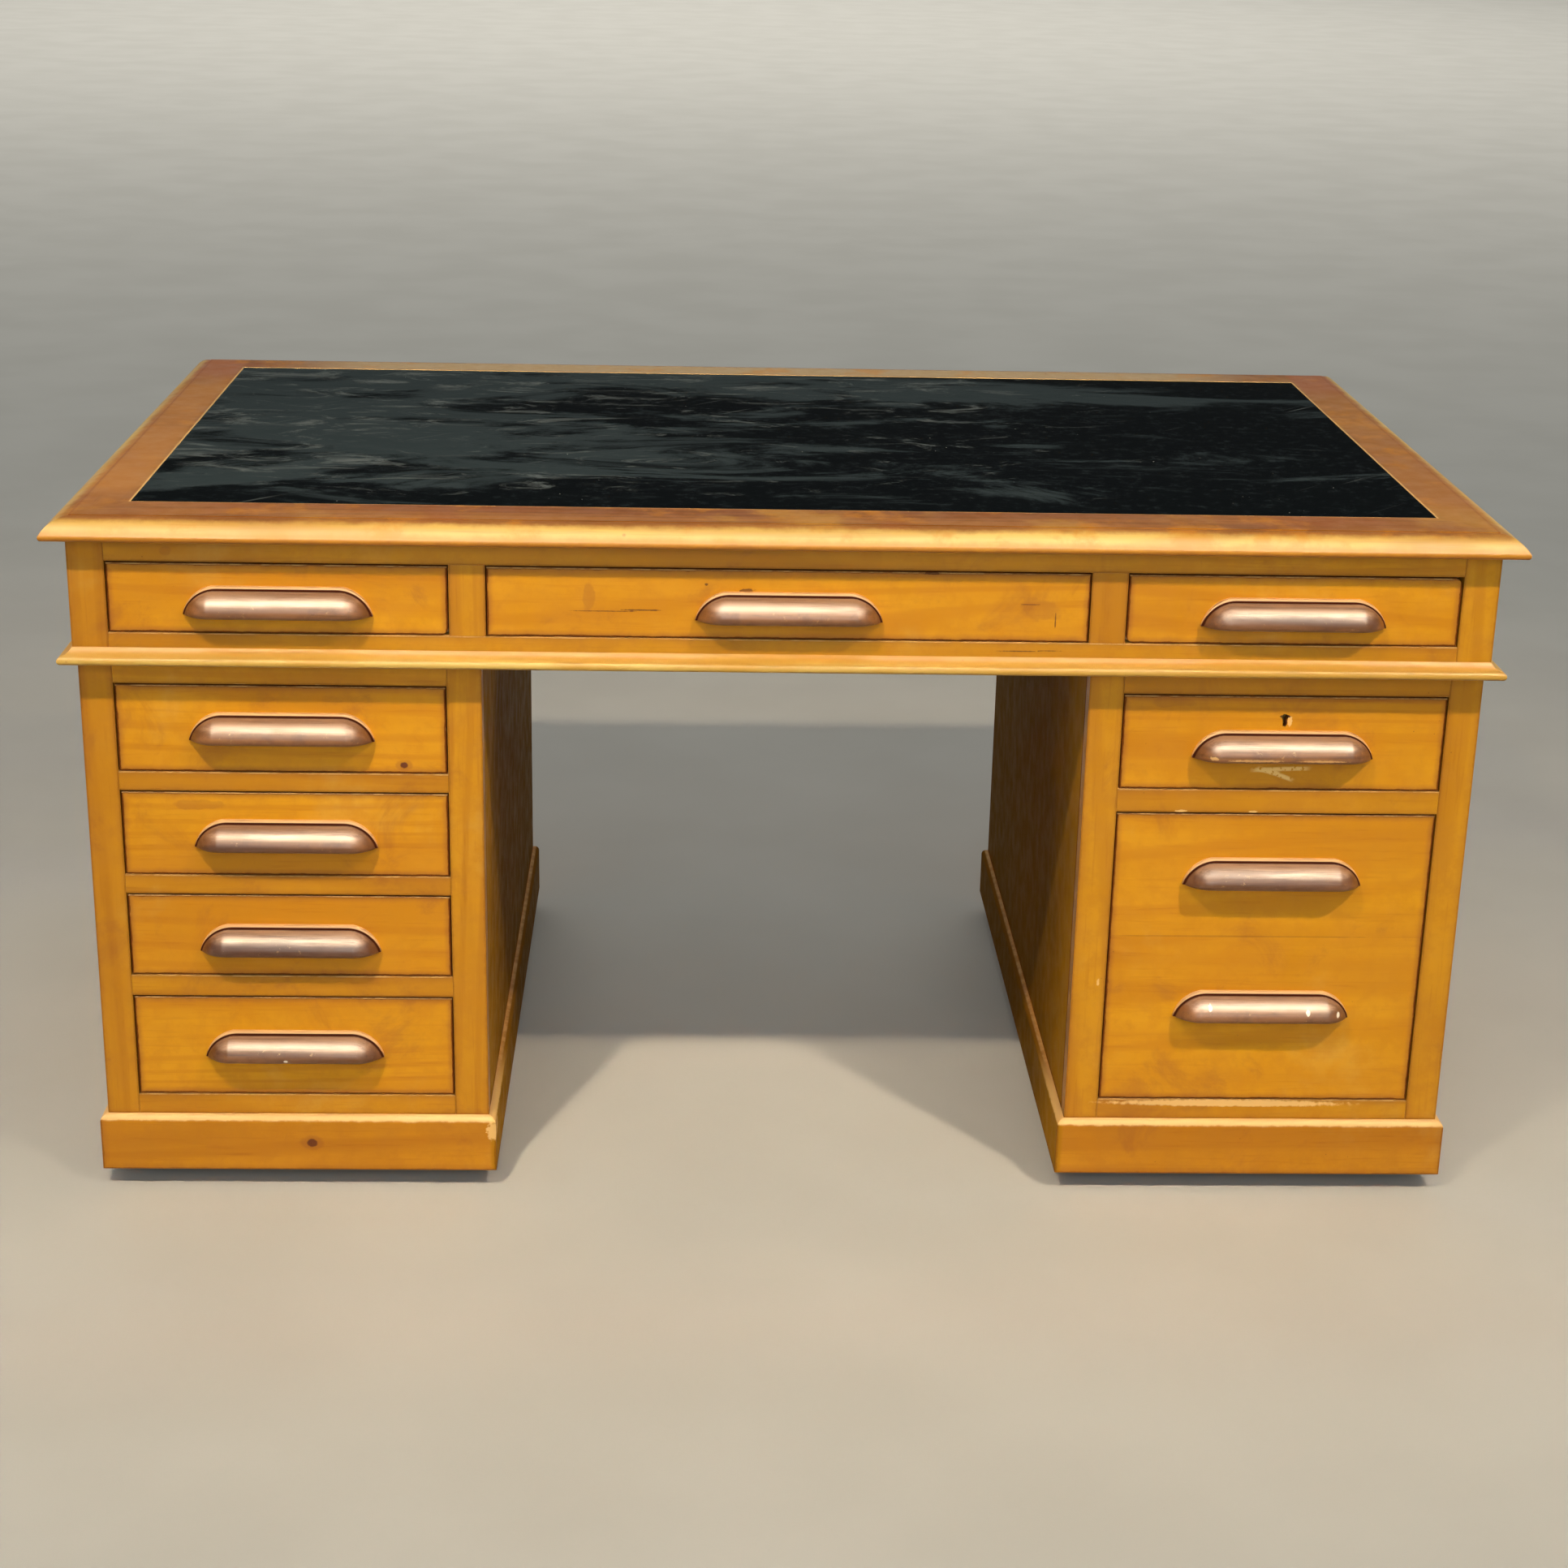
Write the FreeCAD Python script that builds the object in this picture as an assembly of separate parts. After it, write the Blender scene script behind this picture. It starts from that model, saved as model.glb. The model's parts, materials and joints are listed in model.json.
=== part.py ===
import FreeCAD, Part

import math
import os

# Twin pedestal writing desk on castors. All sizes are in millimetres.
# The floor is z = 0, x runs along the width and the drawers open towards -y.
# The origin is on the floor below the middle of the desktop.

# Desktop
HEIGHT = 770.0
TOP_WIDTH = 1524.0
TOP_DEPTH = 914.0
TOP_THICK = 22.0
THUMB_WIDTH = 26.0  # the moulded edge, seen from above
THUMB_NOSE = 7.0  # height of the nose below the curve
THUMB_QUIRK = 1.0  # step where the curve meets the flat
BORDER_SIDE = 77.0  # desktop edge to leather
BORDER_FRONT = 90.0
BORDER_BACK = 77.0
PANEL_THICK = 14.0
LEATHER_THICK = 1.2
LEATHER_SUNK = 0.6
TONGUE = 8.0
TONGUE_THICK = 5.0
ARRIS = 0.8  # worn edge round the leather

# Top section, called the frieze, with the moulding round its foot
OVERHANG_FRONT = 28.0  # desktop past the frieze
OVERHANG_SIDE = 21.0
OVERHANG_BACK = 21.0
FRIEZE_FOOT = 613.0  # where the frieze rests on the pedestals
WAIST_HEIGHT = 17.0
WAIST_PROUD = 14.0
FRIEZE_OPEN_LOW = 646.0
FRIEZE_OPEN_HIGH = 722.0
SIDE_OPEN_INNER = 352.0  # x of the sides of the three frieze openings
SIDE_OPEN_OUTER = 703.0
CENTRE_OPEN_HALF = 314.0

# Pedestals
SETBACK = 20.0  # pedestal front behind the frieze front
PEDESTAL_INNER = 321.0  # x of the sides that face the kneehole
PEDESTAL_OPEN_INNER = 358.0
PEDESTAL_OPEN_OUTER = 706.0
PEDESTAL_FOOT = 87.0
LEFT_OPENINGS = ((487.0, 585.0), (370.0, 466.0), (253.0, 348.5), (110.5, 229.0))
RIGHT_OPENINGS = ((478.0, 585.0), (110.5, 452.0))
DEEP_BOARD_JOINT = 307.0  # glue line between the two boards of the deep front

# Plinths
PLINTH_FOOT = 22.0
PLINTH_ROUND = 8.0  # height of the rounded top edge
PLINTH_THICK = 14.0
PLINTH_PROUD = 8.0

# Boards
FACE_THICK = 22.0
SIDE_THICK = 18.0
BACK_THICK = 12.0
BOARD_THICK = 14.0  # top and bottom boards of the pedestals
RAIL_DEPTH = 60.0
TENON_LONG = 14.0
TENON_SHOULDER = 3.0
RUNNER_WIDTH = 26.0
RUNNER_HIGH = 18.0
GUIDE_HIGH = 24.0
CLEAR = 0.5  # between a drawer and whatever guides it
STOP_LONG = 40.0
STOP_WIDE = 18.0
STOP_HIGH = 6.0
STOP_GAP = 0.3

# Drawers
FRONT_GAP = 1.2  # beside a drawer front
FRONT_GAP_FOOT = 0.6
FRONT_GAP_TOP = 2.0
FRONT_SUNK = 1.0
FRONT_THICK = 20.0
FRONT_EASE = 0.8  # chamfer along the edges of the drawer fronts
WORN_CORNER = 8.0
DRAWER_SIDE = 12.0
DRAWER_BACK = 12.0
DRAWER_BOTTOM = 6.0
BOTTOM_RISE = 8.0  # underside of the bottom above the foot of the sides
GROOVE_DEEP = 6.0
LAP = 5.0  # wood left in front of the dovetails
TAIL_PITCH = 55.0
TAIL_FLARE = 0.16
SIDE_DROP = 2.0  # sides and back end this far below the top of the front
FRIEZE_DRAWER_LONG = 680.0
PEDESTAL_DRAWER_LONG = 660.0

# Pulls
PULL_LONG = 195.0
PULL_HIGH = 30.0
PULL_END = 30.0  # length over which the ends are rounded
FLANGE_THICK = 5.0
RIM = 4.0  # flange that shows above the hood
RIM_END = 1.5  # and at the foot of its ends
HOOD_DEEP = 24.0
HOOD_LIP = 6.0  # how far the lower edge rounds back
HOLLOW_END = 26.0  # from the end of the hood to the finger hollow
HOLLOW_DEEP = 16.0
HOLLOW_HIGH = 16.0
FRIEZE_PULL_FOOT = 667.0
LEFT_PULL_FEET = (524.0, 404.0, 283.5, 158.0)
RIGHT_PULL_FEET = ((515.5,), (370.0, 213.5))

# Lock of the upper right drawer
LOCK_X = 532.0
LOCK_WIDE = 60.0
LOCK_HIGH = 36.0
LOCK_DEEP = 9.0
KEY_Z = 560.4
KEY_R = 3.5
KEY_SLOT = 3.6
KEY_DROP = 10.0
KEY_DEEP = 7.0  # depth of the keyhole in the lock case
BOLT_WIDE = 20.0
BOLT_THICK = 5.0
BOLT_LONG = 18.0
BOLT_TRAVEL = 7.0
BOLT_CLEAR = 0.2

# Castors
WHEEL_R = 25.0
WHEEL_WIDE = 17.0
TRAIL = 16.0
SWIVEL_CLEAR = 43.0  # swivel axis to the inside of the plinth
AXLE_R = 3.0
AXLE_CLEAR = 0.06
AXLE_BOSS = 8.0  # axle to the foot of the cheek
KINGPIN_R = 4.0
KINGPIN_CLEAR = 0.2
CROWN_HALF = 18.0
CROWN_LOW = 52.5
CROWN_HIGH = 56.0
PLATE_GAP = 0.3
PLATE_HIGH = 62.5
PLATE_HALF = 23.0
CHEEK_GAP = 1.2
CHEEK_THICK = 2.5
BLOCK_SIZE = 80.0

TOP_FRONT = -TOP_DEPTH / 2
TOP_BACK = TOP_DEPTH / 2
TOP_SIDE = TOP_WIDTH / 2
TOP_FOOT = HEIGHT - TOP_THICK
FRIEZE_FRONT = TOP_FRONT + OVERHANG_FRONT
FRIEZE_BACK = TOP_BACK - OVERHANG_BACK
FRIEZE_SIDE = TOP_SIDE - OVERHANG_SIDE
PEDESTAL_FRONT = FRIEZE_FRONT + SETBACK
PEDESTAL_SIDE = FRIEZE_SIDE
PEDESTAL_BACK = FRIEZE_BACK
PLINTH_FRONT = PEDESTAL_FRONT - PLINTH_PROUD
PLINTH_BACK = PEDESTAL_BACK + PLINTH_PROUD
PANEL_TOP = HEIGHT - LEATHER_SUNK - LEATHER_THICK
PANEL_FOOT = PANEL_TOP - PANEL_THICK
TONGUE_LOW = PANEL_FOOT + (PANEL_THICK - TONGUE_THICK) / 2
TONGUE_HIGH = TONGUE_LOW + TONGUE_THICK
LOCK_Y = PEDESTAL_FRONT + FRONT_SUNK + FRONT_THICK - LOCK_DEEP
LOCK_TOP = RIGHT_OPENINGS[0][1] - FRONT_GAP_TOP


def vec(x, y, z):
    return FreeCAD.Vector(x, y, z)


def box(x0, x1, y0, y1, z0, z1):
    return Part.makeBox(x1 - x0, y1 - y0, z1 - z0, vec(x0, y0, z0))


def mirror_x(shape):
    return shape.mirror(vec(0, 0, 0), vec(1, 0, 0))


def wire(start, steps, place, last_middle=None):
    """Closed outline. A step is an end point, or a middle and an end point of an arc.

    The outline closes with a straight line, or with an arc through last_middle.
    """
    edges = []
    here = start
    for step in steps + [(last_middle, start) if last_middle else start]:
        if isinstance(step[0], tuple):
            middle, end = step
            edges.append(Part.Arc(place(here), place(middle), place(end)).toShape())
        else:
            end = step
            edges.append(Part.makeLine(place(here), place(end)))
        here = end
    return Part.Wire(edges)


def save(name, solids):
    shape = solids[0] if len(solids) == 1 else Part.makeCompound(solids)
    if not shape.isValid():
        raise ValueError("invalid shape: " + name)
    shape.exportStep("parts/" + name + ".step")


# Mouldings and boards that run round a rectangle


def mitred_run(start, steps, a, b, mitres=(1.0, 1.0)):
    """A moulded board from a to b. Its outline is in (inward, up), with 0 inward on the line a to b.

    Each mitre is how far the cut runs along the board per unit inward: 1 is 45 degrees, 0 a square end.
    """
    length = (b - a).Length
    along = (b - a).normalize()
    inward = vec(-along.y, along.x, 0)
    face = Part.Face(wire(start, steps, lambda p: a + inward * p[0] + vec(0, 0, p[1])))
    board = face.extrude(along * length)
    depth = 2 * max(face.BoundBox.XLength, face.BoundBox.YLength)
    inner_a = a + inward * depth + along * depth * mitres[0]
    inner_b = b + inward * depth - along * depth * mitres[1]
    plan = Part.Face(Part.makePolygon([a, b, inner_b, inner_a, a]))
    return board.common(plan.extrude(vec(0, 0, HEIGHT + 1)))


def corners(x0, x1, y0, y1):
    """Corners of a rectangle from the front left one, anticlockwise from above."""
    return [vec(x0, y0, 0), vec(x1, y0, 0), vec(x1, y1, 0), vec(x0, y1, 0)]


def rail_tenons(x0, x1, y0, z0, z1):
    """Tenons at both ends of a rail, a third of the frame's thickness, shouldered above and below."""
    y1, y2 = y0 + FACE_THICK / 3, y0 + 2 * FACE_THICK / 3
    low, high = z0 + TENON_SHOULDER, z1 - TENON_SHOULDER
    return [box(x0 - TENON_LONG, x0, y1, y2, low, high), box(x1, x1 + TENON_LONG, y1, y2, low, high)]


def joined(board, tenons):
    return board.fuse(tenons).removeSplitter()


# Desktop


def frame_section(border):
    """Start point and outline of a desktop rail: thumb moulding outside, groove for the panel inside.

    The moulding is as wide as its border asks, so that rails of two widths still meet in one mitre.
    """
    grow = border / BORDER_SIDE
    curve_z = TOP_FOOT + THUMB_NOSE
    quirk_z = HEIGHT - THUMB_QUIRK
    bulge = (THUMB_WIDTH * 0.365 * grow, curve_z + (quirk_z - curve_z) * 0.64)
    steps = [
        ((0, TOP_FOOT + THUMB_NOSE * 0.45), (1.2 * grow, curve_z)),
        (bulge, (THUMB_WIDTH * grow, quirk_z)),
        (THUMB_WIDTH * grow, HEIGHT),
        (border - ARRIS, HEIGHT),
        (border, HEIGHT - ARRIS),
        (border, TONGUE_HIGH),
        (border - TONGUE, TONGUE_HIGH),
        (border - TONGUE, TONGUE_LOW),
        (border, TONGUE_LOW),
        (border, TOP_FOOT),
    ]
    return (2.0 * grow, TOP_FOOT), steps


def make_desktop():
    points = corners(-TOP_SIDE, TOP_SIDE, TOP_FRONT, TOP_BACK)
    borders = [BORDER_FRONT, BORDER_SIDE, BORDER_BACK, BORDER_SIDE]
    rails = []
    for i in range(4):
        start, steps = frame_section(borders[i])
        mitres = (borders[i - 1] / borders[i], borders[(i + 1) % 4] / borders[i])
        rails.append(mitred_run(start, steps, points[i], points[(i + 1) % 4], mitres))
    save("desktop_frame", rails)

    x = TOP_SIDE - BORDER_SIDE
    y0, y1 = TOP_FRONT + BORDER_FRONT, TOP_BACK - BORDER_BACK
    tongue = box(-x - TONGUE, x + TONGUE, y0 - TONGUE, y1 + TONGUE, TONGUE_LOW, TONGUE_HIGH)
    save("desktop_panel", [joined(box(-x, x, y0, y1, PANEL_FOOT, PANEL_TOP), [tongue])])
    save("writing_leather", [box(-x, x, y0, y1, PANEL_TOP, HEIGHT - LEATHER_SUNK)])


# Frieze


def frieze_openings():
    """The x range of the three drawer openings, from the left."""
    return (
        (-SIDE_OPEN_OUTER, -SIDE_OPEN_INNER),
        (-CENTRE_OPEN_HALF, CENTRE_OPEN_HALF),
        (SIDE_OPEN_INNER, SIDE_OPEN_OUTER),
    )


def make_frieze_face_frame():
    x, y0, y1 = SIDE_OPEN_OUTER, FRIEZE_FRONT, FRIEZE_FRONT + FACE_THICK
    low, high = FRIEZE_OPEN_LOW, FRIEZE_OPEN_HIGH
    top_tenons = rail_tenons(-x, x, y0, high, TOP_FOOT)
    foot_tenons = rail_tenons(-x, x, y0, FRIEZE_FOOT, low)
    third = FACE_THICK / 3
    muntins, mortises = [], []
    for side in (-1, 1):
        x0, x1 = sorted((side * CENTRE_OPEN_HALF, side * SIDE_OPEN_INNER))
        tenon = box(
            x0 + TENON_SHOULDER, x1 - TENON_SHOULDER, y0 + third, y0 + 2 * third,
            low - TENON_LONG, high + TENON_LONG,
        )
        muntins.append(joined(box(x0, x1, y0, y1, low, high), [tenon]))
        mortises.append(tenon)
    top = joined(box(-x, x, y0, y1, high, TOP_FOOT), top_tenons).cut(mortises)
    foot = joined(box(-x, x, y0, y0 + RAIL_DEPTH, FRIEZE_FOOT, low), foot_tenons).cut(mortises)
    stile = box(x, FRIEZE_SIDE, y0, y1, FRIEZE_FOOT, TOP_FOOT).cut(top_tenons + foot_tenons)
    save("frieze_face_frame", [mirror_x(stile), stile, top, foot] + muntins)


def make_frieze_case():
    y0, y1 = FRIEZE_FRONT + FACE_THICK, FRIEZE_BACK
    inner = FRIEZE_SIDE - SIDE_THICK
    end = box(inner, FRIEZE_SIDE, y0, y1, FRIEZE_FOOT, TOP_FOOT)
    back = box(-inner, inner, y1 - SIDE_THICK, y1, FRIEZE_FOOT, TOP_FOOT)
    middle = (CENTRE_OPEN_HALF + SIDE_OPEN_INNER) / 2
    x0, x1 = middle - SIDE_THICK / 2, middle + SIDE_THICK / 2
    divider = box(x0, x1, y0, y1 - SIDE_THICK, FRIEZE_OPEN_LOW, TOP_FOOT)
    save("frieze_case", [mirror_x(end), end, back, mirror_x(divider), divider])


def make_waist_moulding():
    """A cove over a rounded nose, round the front and both ends of the frieze."""
    top, foot, proud = FRIEZE_FOOT + WAIST_HEIGHT, FRIEZE_FOOT, WAIST_PROUD
    start = (proud, foot)
    steps = [
        (4.0, foot),
        ((0, foot + 4.5), (3.5, foot + 9)),
        ((proud - 5.5, foot + 11), (proud, top)),
    ]
    x, y = FRIEZE_SIDE + proud, FRIEZE_FRONT - proud
    a, b, c, d = corners(-x, x, y, FRIEZE_BACK)
    runs = [
        mitred_run(start, steps, a, b),
        mitred_run(start, steps, b, c, (1.0, 0.0)),
        mitred_run(start, steps, d, a, (0.0, 1.0)),
    ]
    save("waist_moulding", runs)


# Runners, guides, kickers and stops that carry the drawers


def stops(x0, x1, front, low):
    """Two blocks on a rail, which a closed drawer front meets from behind."""
    y = front + FRONT_SUNK + FRONT_THICK + STOP_GAP
    blocks = []
    for x in (x0 + STOP_LONG, x1 - 2 * STOP_LONG):
        blocks.append(box(x, x + STOP_LONG, y, y + STOP_WIDE, low, low + STOP_HIGH))
    return blocks


def make_frieze_runners():
    y0, y1 = FRIEZE_FRONT + FACE_THICK, FRIEZE_BACK - SIDE_THICK
    low, high = FRIEZE_OPEN_LOW, FRIEZE_OPEN_HIGH
    middle = (CENTRE_OPEN_HALF + SIDE_OPEN_INNER) / 2
    inner = FRIEZE_SIDE - SIDE_THICK
    sides = (
        (SIDE_OPEN_OUTER, inner, SIDE_OPEN_OUTER - RUNNER_WIDTH, inner),
        (CENTRE_OPEN_HALF, middle - SIDE_THICK / 2, CENTRE_OPEN_HALF - RUNNER_WIDTH, middle - SIDE_THICK / 2),
        (middle + SIDE_THICK / 2, SIDE_OPEN_INNER, middle + SIDE_THICK / 2, SIDE_OPEN_INNER + RUNNER_WIDTH),
    )
    solids = []
    for guide_0, guide_1, kick_0, kick_1 in sides:
        solids.append(box(guide_0, guide_1, y0, y1, low, low + GUIDE_HIGH))
        solids.append(box(kick_0, kick_1, y0, y1, high, TOP_FOOT))
    rear = FRIEZE_FRONT + RAIL_DEPTH
    bearers = (
        (SIDE_OPEN_OUTER - RUNNER_WIDTH, inner),
        (CENTRE_OPEN_HALF - RUNNER_WIDTH, SIDE_OPEN_INNER + RUNNER_WIDTH),
    )
    for x0, x1 in bearers:
        solids.append(box(x0, x1, rear, y1, low - RUNNER_HIGH, low))
    solids += [mirror_x(s) for s in solids]
    for x0, x1 in frieze_openings():
        solids += stops(x0, x1, FRIEZE_FRONT, low)
    save("frieze_drawer_runners", solids)


def pedestal_runners(openings):
    """The runners of the right pedestal's openings, with a kicker above the uppermost drawer."""
    y0, rear = PEDESTAL_FRONT + FACE_THICK, PEDESTAL_FRONT + RAIL_DEPTH
    y1 = PEDESTAL_BACK - BACK_THICK
    inner, outer = PEDESTAL_INNER + SIDE_THICK, PEDESTAL_SIDE - SIDE_THICK
    runner_x = ((inner, PEDESTAL_OPEN_INNER + RUNNER_WIDTH), (PEDESTAL_OPEN_OUTER - RUNNER_WIDTH, outer))
    guide_x = ((inner, PEDESTAL_OPEN_INNER), (PEDESTAL_OPEN_OUTER, outer))
    solids = []
    for low, high in openings:
        foot = max(low - RUNNER_HIGH, PEDESTAL_FOOT + BOARD_THICK)
        for x0, x1 in runner_x:
            solids.append(box(x0, x1, rear, y1, foot, low))
        for x0, x1 in guide_x:
            solids.append(box(x0, x1, y0, y1, low, low + GUIDE_HIGH))
        solids += stops(PEDESTAL_OPEN_INNER, PEDESTAL_OPEN_OUTER, PEDESTAL_FRONT, low)
    for x0, x1 in runner_x:
        solids.append(box(x0, x1, rear, y1, openings[0][1], FRIEZE_FOOT - BOARD_THICK))
    return solids


def make_pedestal_runners():
    left = [mirror_x(s) for s in pedestal_runners(LEFT_OPENINGS)]
    save("pedestal_drawer_runners", left + pedestal_runners(RIGHT_OPENINGS))


# Pedestals and plinths, drawn on the right and mirrored for the left


def pedestal_case():
    y0, rear, y1 = PEDESTAL_FRONT + FACE_THICK, PEDESTAL_FRONT + RAIL_DEPTH, PEDESTAL_BACK
    inner, outer = PEDESTAL_INNER + SIDE_THICK, PEDESTAL_SIDE - SIDE_THICK
    foot, top = PEDESTAL_FOOT, FRIEZE_FOOT
    return [
        box(PEDESTAL_INNER, inner, y0, y1, foot, top),
        box(outer, PEDESTAL_SIDE, y0, y1, foot, top),
        box(inner, outer, y1 - BACK_THICK, y1, foot, top),
        box(inner, outer, rear, y1 - BACK_THICK, foot, foot + BOARD_THICK),
        box(inner, outer, rear, y1 - BACK_THICK, top - BOARD_THICK, top),
    ]


def bolt_mortise():
    """Slot in the rail above the locked drawer, which the bolt rises into."""
    x, y = BOLT_WIDE / 2 + 1, LOCK_Y + LOCK_DEEP / 2
    half = BOLT_THICK / 2 + 1
    top = RIGHT_OPENINGS[0][1]
    return box(LOCK_X - x, LOCK_X + x, y - half, y + half, top, top + BOLT_TRAVEL + 2)


def face_frame(openings):
    x0, x1, y0 = PEDESTAL_OPEN_INNER, PEDESTAL_OPEN_OUTER, PEDESTAL_FRONT
    edges = [FRIEZE_FOOT]
    for low, high in openings:
        edges += [high, low]
    edges.append(PEDESTAL_FOOT)
    rails, mortises = [], []
    for i in range(0, len(edges), 2):
        tenons = rail_tenons(x0, x1, y0, edges[i + 1], edges[i])
        rails.append(joined(box(x0, x1, y0, y0 + RAIL_DEPTH, edges[i + 1], edges[i]), tenons))
        mortises += tenons
    stiles = []
    for left, right in ((PEDESTAL_INNER, x0), (x1, PEDESTAL_SIDE)):
        stile = box(left, right, y0, y0 + FACE_THICK, PEDESTAL_FOOT, FRIEZE_FOOT)
        stiles.append(stile.cut(mortises))
    return stiles + rails


def plinth():
    """Four mitred boards with a rounded top edge, and the corner blocks that carry the castors."""
    x0, x1 = PEDESTAL_INNER - PLINTH_PROUD, PEDESTAL_SIDE + PLINTH_PROUD
    steps = [
        (0, PEDESTAL_FOOT - PLINTH_ROUND),
        ((PLINTH_ROUND * 0.29, PEDESTAL_FOOT - PLINTH_ROUND * 0.29), (PLINTH_ROUND, PEDESTAL_FOOT)),
        (PLINTH_THICK, PEDESTAL_FOOT),
        (PLINTH_THICK, PLINTH_FOOT),
    ]
    points = corners(x0, x1, PLINTH_FRONT, PLINTH_BACK)
    solids = [mitred_run((0, PLINTH_FOOT), steps, points[i], points[(i + 1) % 4]) for i in range(4)]
    for x in (x0 + PLINTH_THICK, x1 - PLINTH_THICK - BLOCK_SIZE):
        for y in (PLINTH_FRONT + PLINTH_THICK, PLINTH_BACK - PLINTH_THICK - BLOCK_SIZE):
            solids.append(box(x, x + BLOCK_SIZE, y, y + BLOCK_SIZE, PLATE_HIGH, PEDESTAL_FOOT))
    return solids


def make_pedestals():
    save("right_pedestal_case", pedestal_case())
    save("left_pedestal_case", [mirror_x(s) for s in pedestal_case()])
    save("right_face_frame", [s.cut(bolt_mortise()) for s in face_frame(RIGHT_OPENINGS)])
    save("left_face_frame", [mirror_x(s) for s in face_frame(LEFT_OPENINGS)])
    save("right_plinth", plinth())
    save("left_plinth", [mirror_x(s) for s in plinth()])


# Drawers


def dovetails(x0, x1, shoulder, tip, z0, z1):
    """Tails on the end of a drawer side. They widen from the shoulder to the tip."""
    count = max(2, round((z1 - z0) / TAIL_PITCH))
    pitch = (z1 - z0) / count
    flare = abs(tip - shoulder) * TAIL_FLARE
    half = pitch / 2 - 2 - flare
    tails = []
    for i in range(count):
        z = z0 + pitch * (i + 0.5)
        points = [
            vec(x0, shoulder, z - half),
            vec(x0, tip, z - half - flare),
            vec(x0, tip, z + half + flare),
            vec(x0, shoulder, z + half),
        ]
        tails.append(Part.Face(Part.makePolygon(points + points[:1])).extrude(vec(x1 - x0, 0, 0)))
    return tails


def front_board(x0, x1, z0, z1, face_y, worn):
    """A drawer front with eased edges. worn names the corners that use has rounded."""
    board = box(x0, x1, face_y, face_y + FRONT_THICK, z0, z1)
    rounded = []
    for edge in board.Edges:
        level = "high" if edge.CenterOfMass.z > (z0 + z1) / 2 else "low"
        side = "right" if edge.CenterOfMass.x > (x0 + x1) / 2 else "left"
        if edge.BoundBox.YLength > FRONT_THICK / 2 and level + "_" + side in worn:
            rounded.append(edge)
    if rounded:
        board = board.makeFillet(WORN_CORNER, rounded)
    rim = [e for e in board.Edges if e.BoundBox.YMax < face_y + FRONT_EASE / 2]
    return board.makeChamfer(FRONT_EASE, rim)


def drawer(name, x_range, z_range, face, length, worn=(), extra_cuts=(), joint=None):
    """The front and the dovetailed box of one drawer."""
    x0, x1 = x_range[0] + FRONT_GAP, x_range[1] - FRONT_GAP
    z0, z1 = z_range[0] + FRONT_GAP_FOOT, z_range[1] - FRONT_GAP_TOP
    face_y = face + FRONT_SUNK
    shoulder, rear = face_y + FRONT_THICK, face_y + length
    low, high = z_range[0] + CLEAR, z1 - SIDE_DROP
    groove_low = low + BOTTOM_RISE
    groove_high = groove_low + DRAWER_BOTTOM
    inner_x0, inner_x1 = x0 + DRAWER_SIDE, x1 - DRAWER_SIDE

    sides, sockets, rear_sockets = [], [], []
    for outer, inner in ((x0, inner_x0), (x1, inner_x1)):
        a, b = min(outer, inner), max(outer, inner)
        tails = dovetails(a, b, shoulder, face_y + LAP, max(low, z0), high)
        rear_tails = dovetails(a, b, rear - DRAWER_BACK, rear, groove_high, high)
        groove_x = sorted((inner, inner + math.copysign(GROOVE_DEEP, outer - inner)))
        groove = box(groove_x[0], groove_x[1], shoulder, rear - DRAWER_BACK, groove_low, groove_high)
        side = box(a, b, shoulder, rear - DRAWER_BACK, low, high)
        sides.append(side.cut(groove).fuse(tails + rear_tails).removeSplitter())
        sockets += tails
        rear_sockets += rear_tails
    back = box(x0, x1, rear - DRAWER_BACK, rear, groove_high, high).cut(rear_sockets)
    wide_x0, wide_x1 = inner_x0 - GROOVE_DEEP, inner_x1 + GROOVE_DEEP
    bottom = box(wide_x0, wide_x1, shoulder, rear - DRAWER_BACK, groove_low, groove_high)
    tongue = box(inner_x0, inner_x1, shoulder - GROOVE_DEEP, shoulder, groove_low, groove_high)
    under_back = box(inner_x0, inner_x1, rear - DRAWER_BACK, rear, groove_low, groove_high)
    bottom = joined(bottom, [tongue, under_back])
    save(name + "_box", sides + [back, bottom])

    board = front_board(x0, x1, z0, z1, face_y, worn).cut(sockets + [tongue] + list(extra_cuts))
    boards = [board]
    if joint:
        below = box(x0 - 1, x1 + 1, face_y - 1, shoulder + 1, z0 - 1, joint)
        boards = [board.common(below), board.cut(below)]
    save(name + "_front", boards)


# Pulls


def bar(half, steps):
    """Bar along x from -half to half. Its outline is in (outward, up), with the back on y = 0."""
    outline = wire((0, 0), steps, lambda p: vec(-half, -p[0], p[1]))
    return Part.Face(outline).extrude(vec(2 * half, 0, 0))


def arched(half, high, place):
    """Outline from -half to half whose corners above the base are rounded over the length of an end."""
    steps = [
        (half, 0),
        ((half - PULL_END * 0.35, high * 0.65), (half - PULL_END, high)),
        (PULL_END - half, high),
    ]
    return Part.Face(wire((-half, 0), steps, place, (PULL_END * 0.35 - half, high * 0.65)))


def hood(half, high):
    """Bar with a bold round in front and a small one below, rounded at both ends."""
    deep = HOOD_DEEP
    steps = [
        (0, high),
        ((deep * 0.67, high * 0.81), (deep, high * 0.35)),
        ((deep - HOOD_LIP * 0.25, high * 0.12), (deep - HOOD_LIP, 0)),
    ]
    front = arched(half, high, lambda p: vec(p[0], 0, p[1])).extrude(vec(0, -deep, 0))
    plan = arched(half, deep, lambda p: vec(p[0], -p[1], 0)).extrude(vec(0, 0, high))
    return bar(half, steps).common(front).common(plan)


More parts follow.
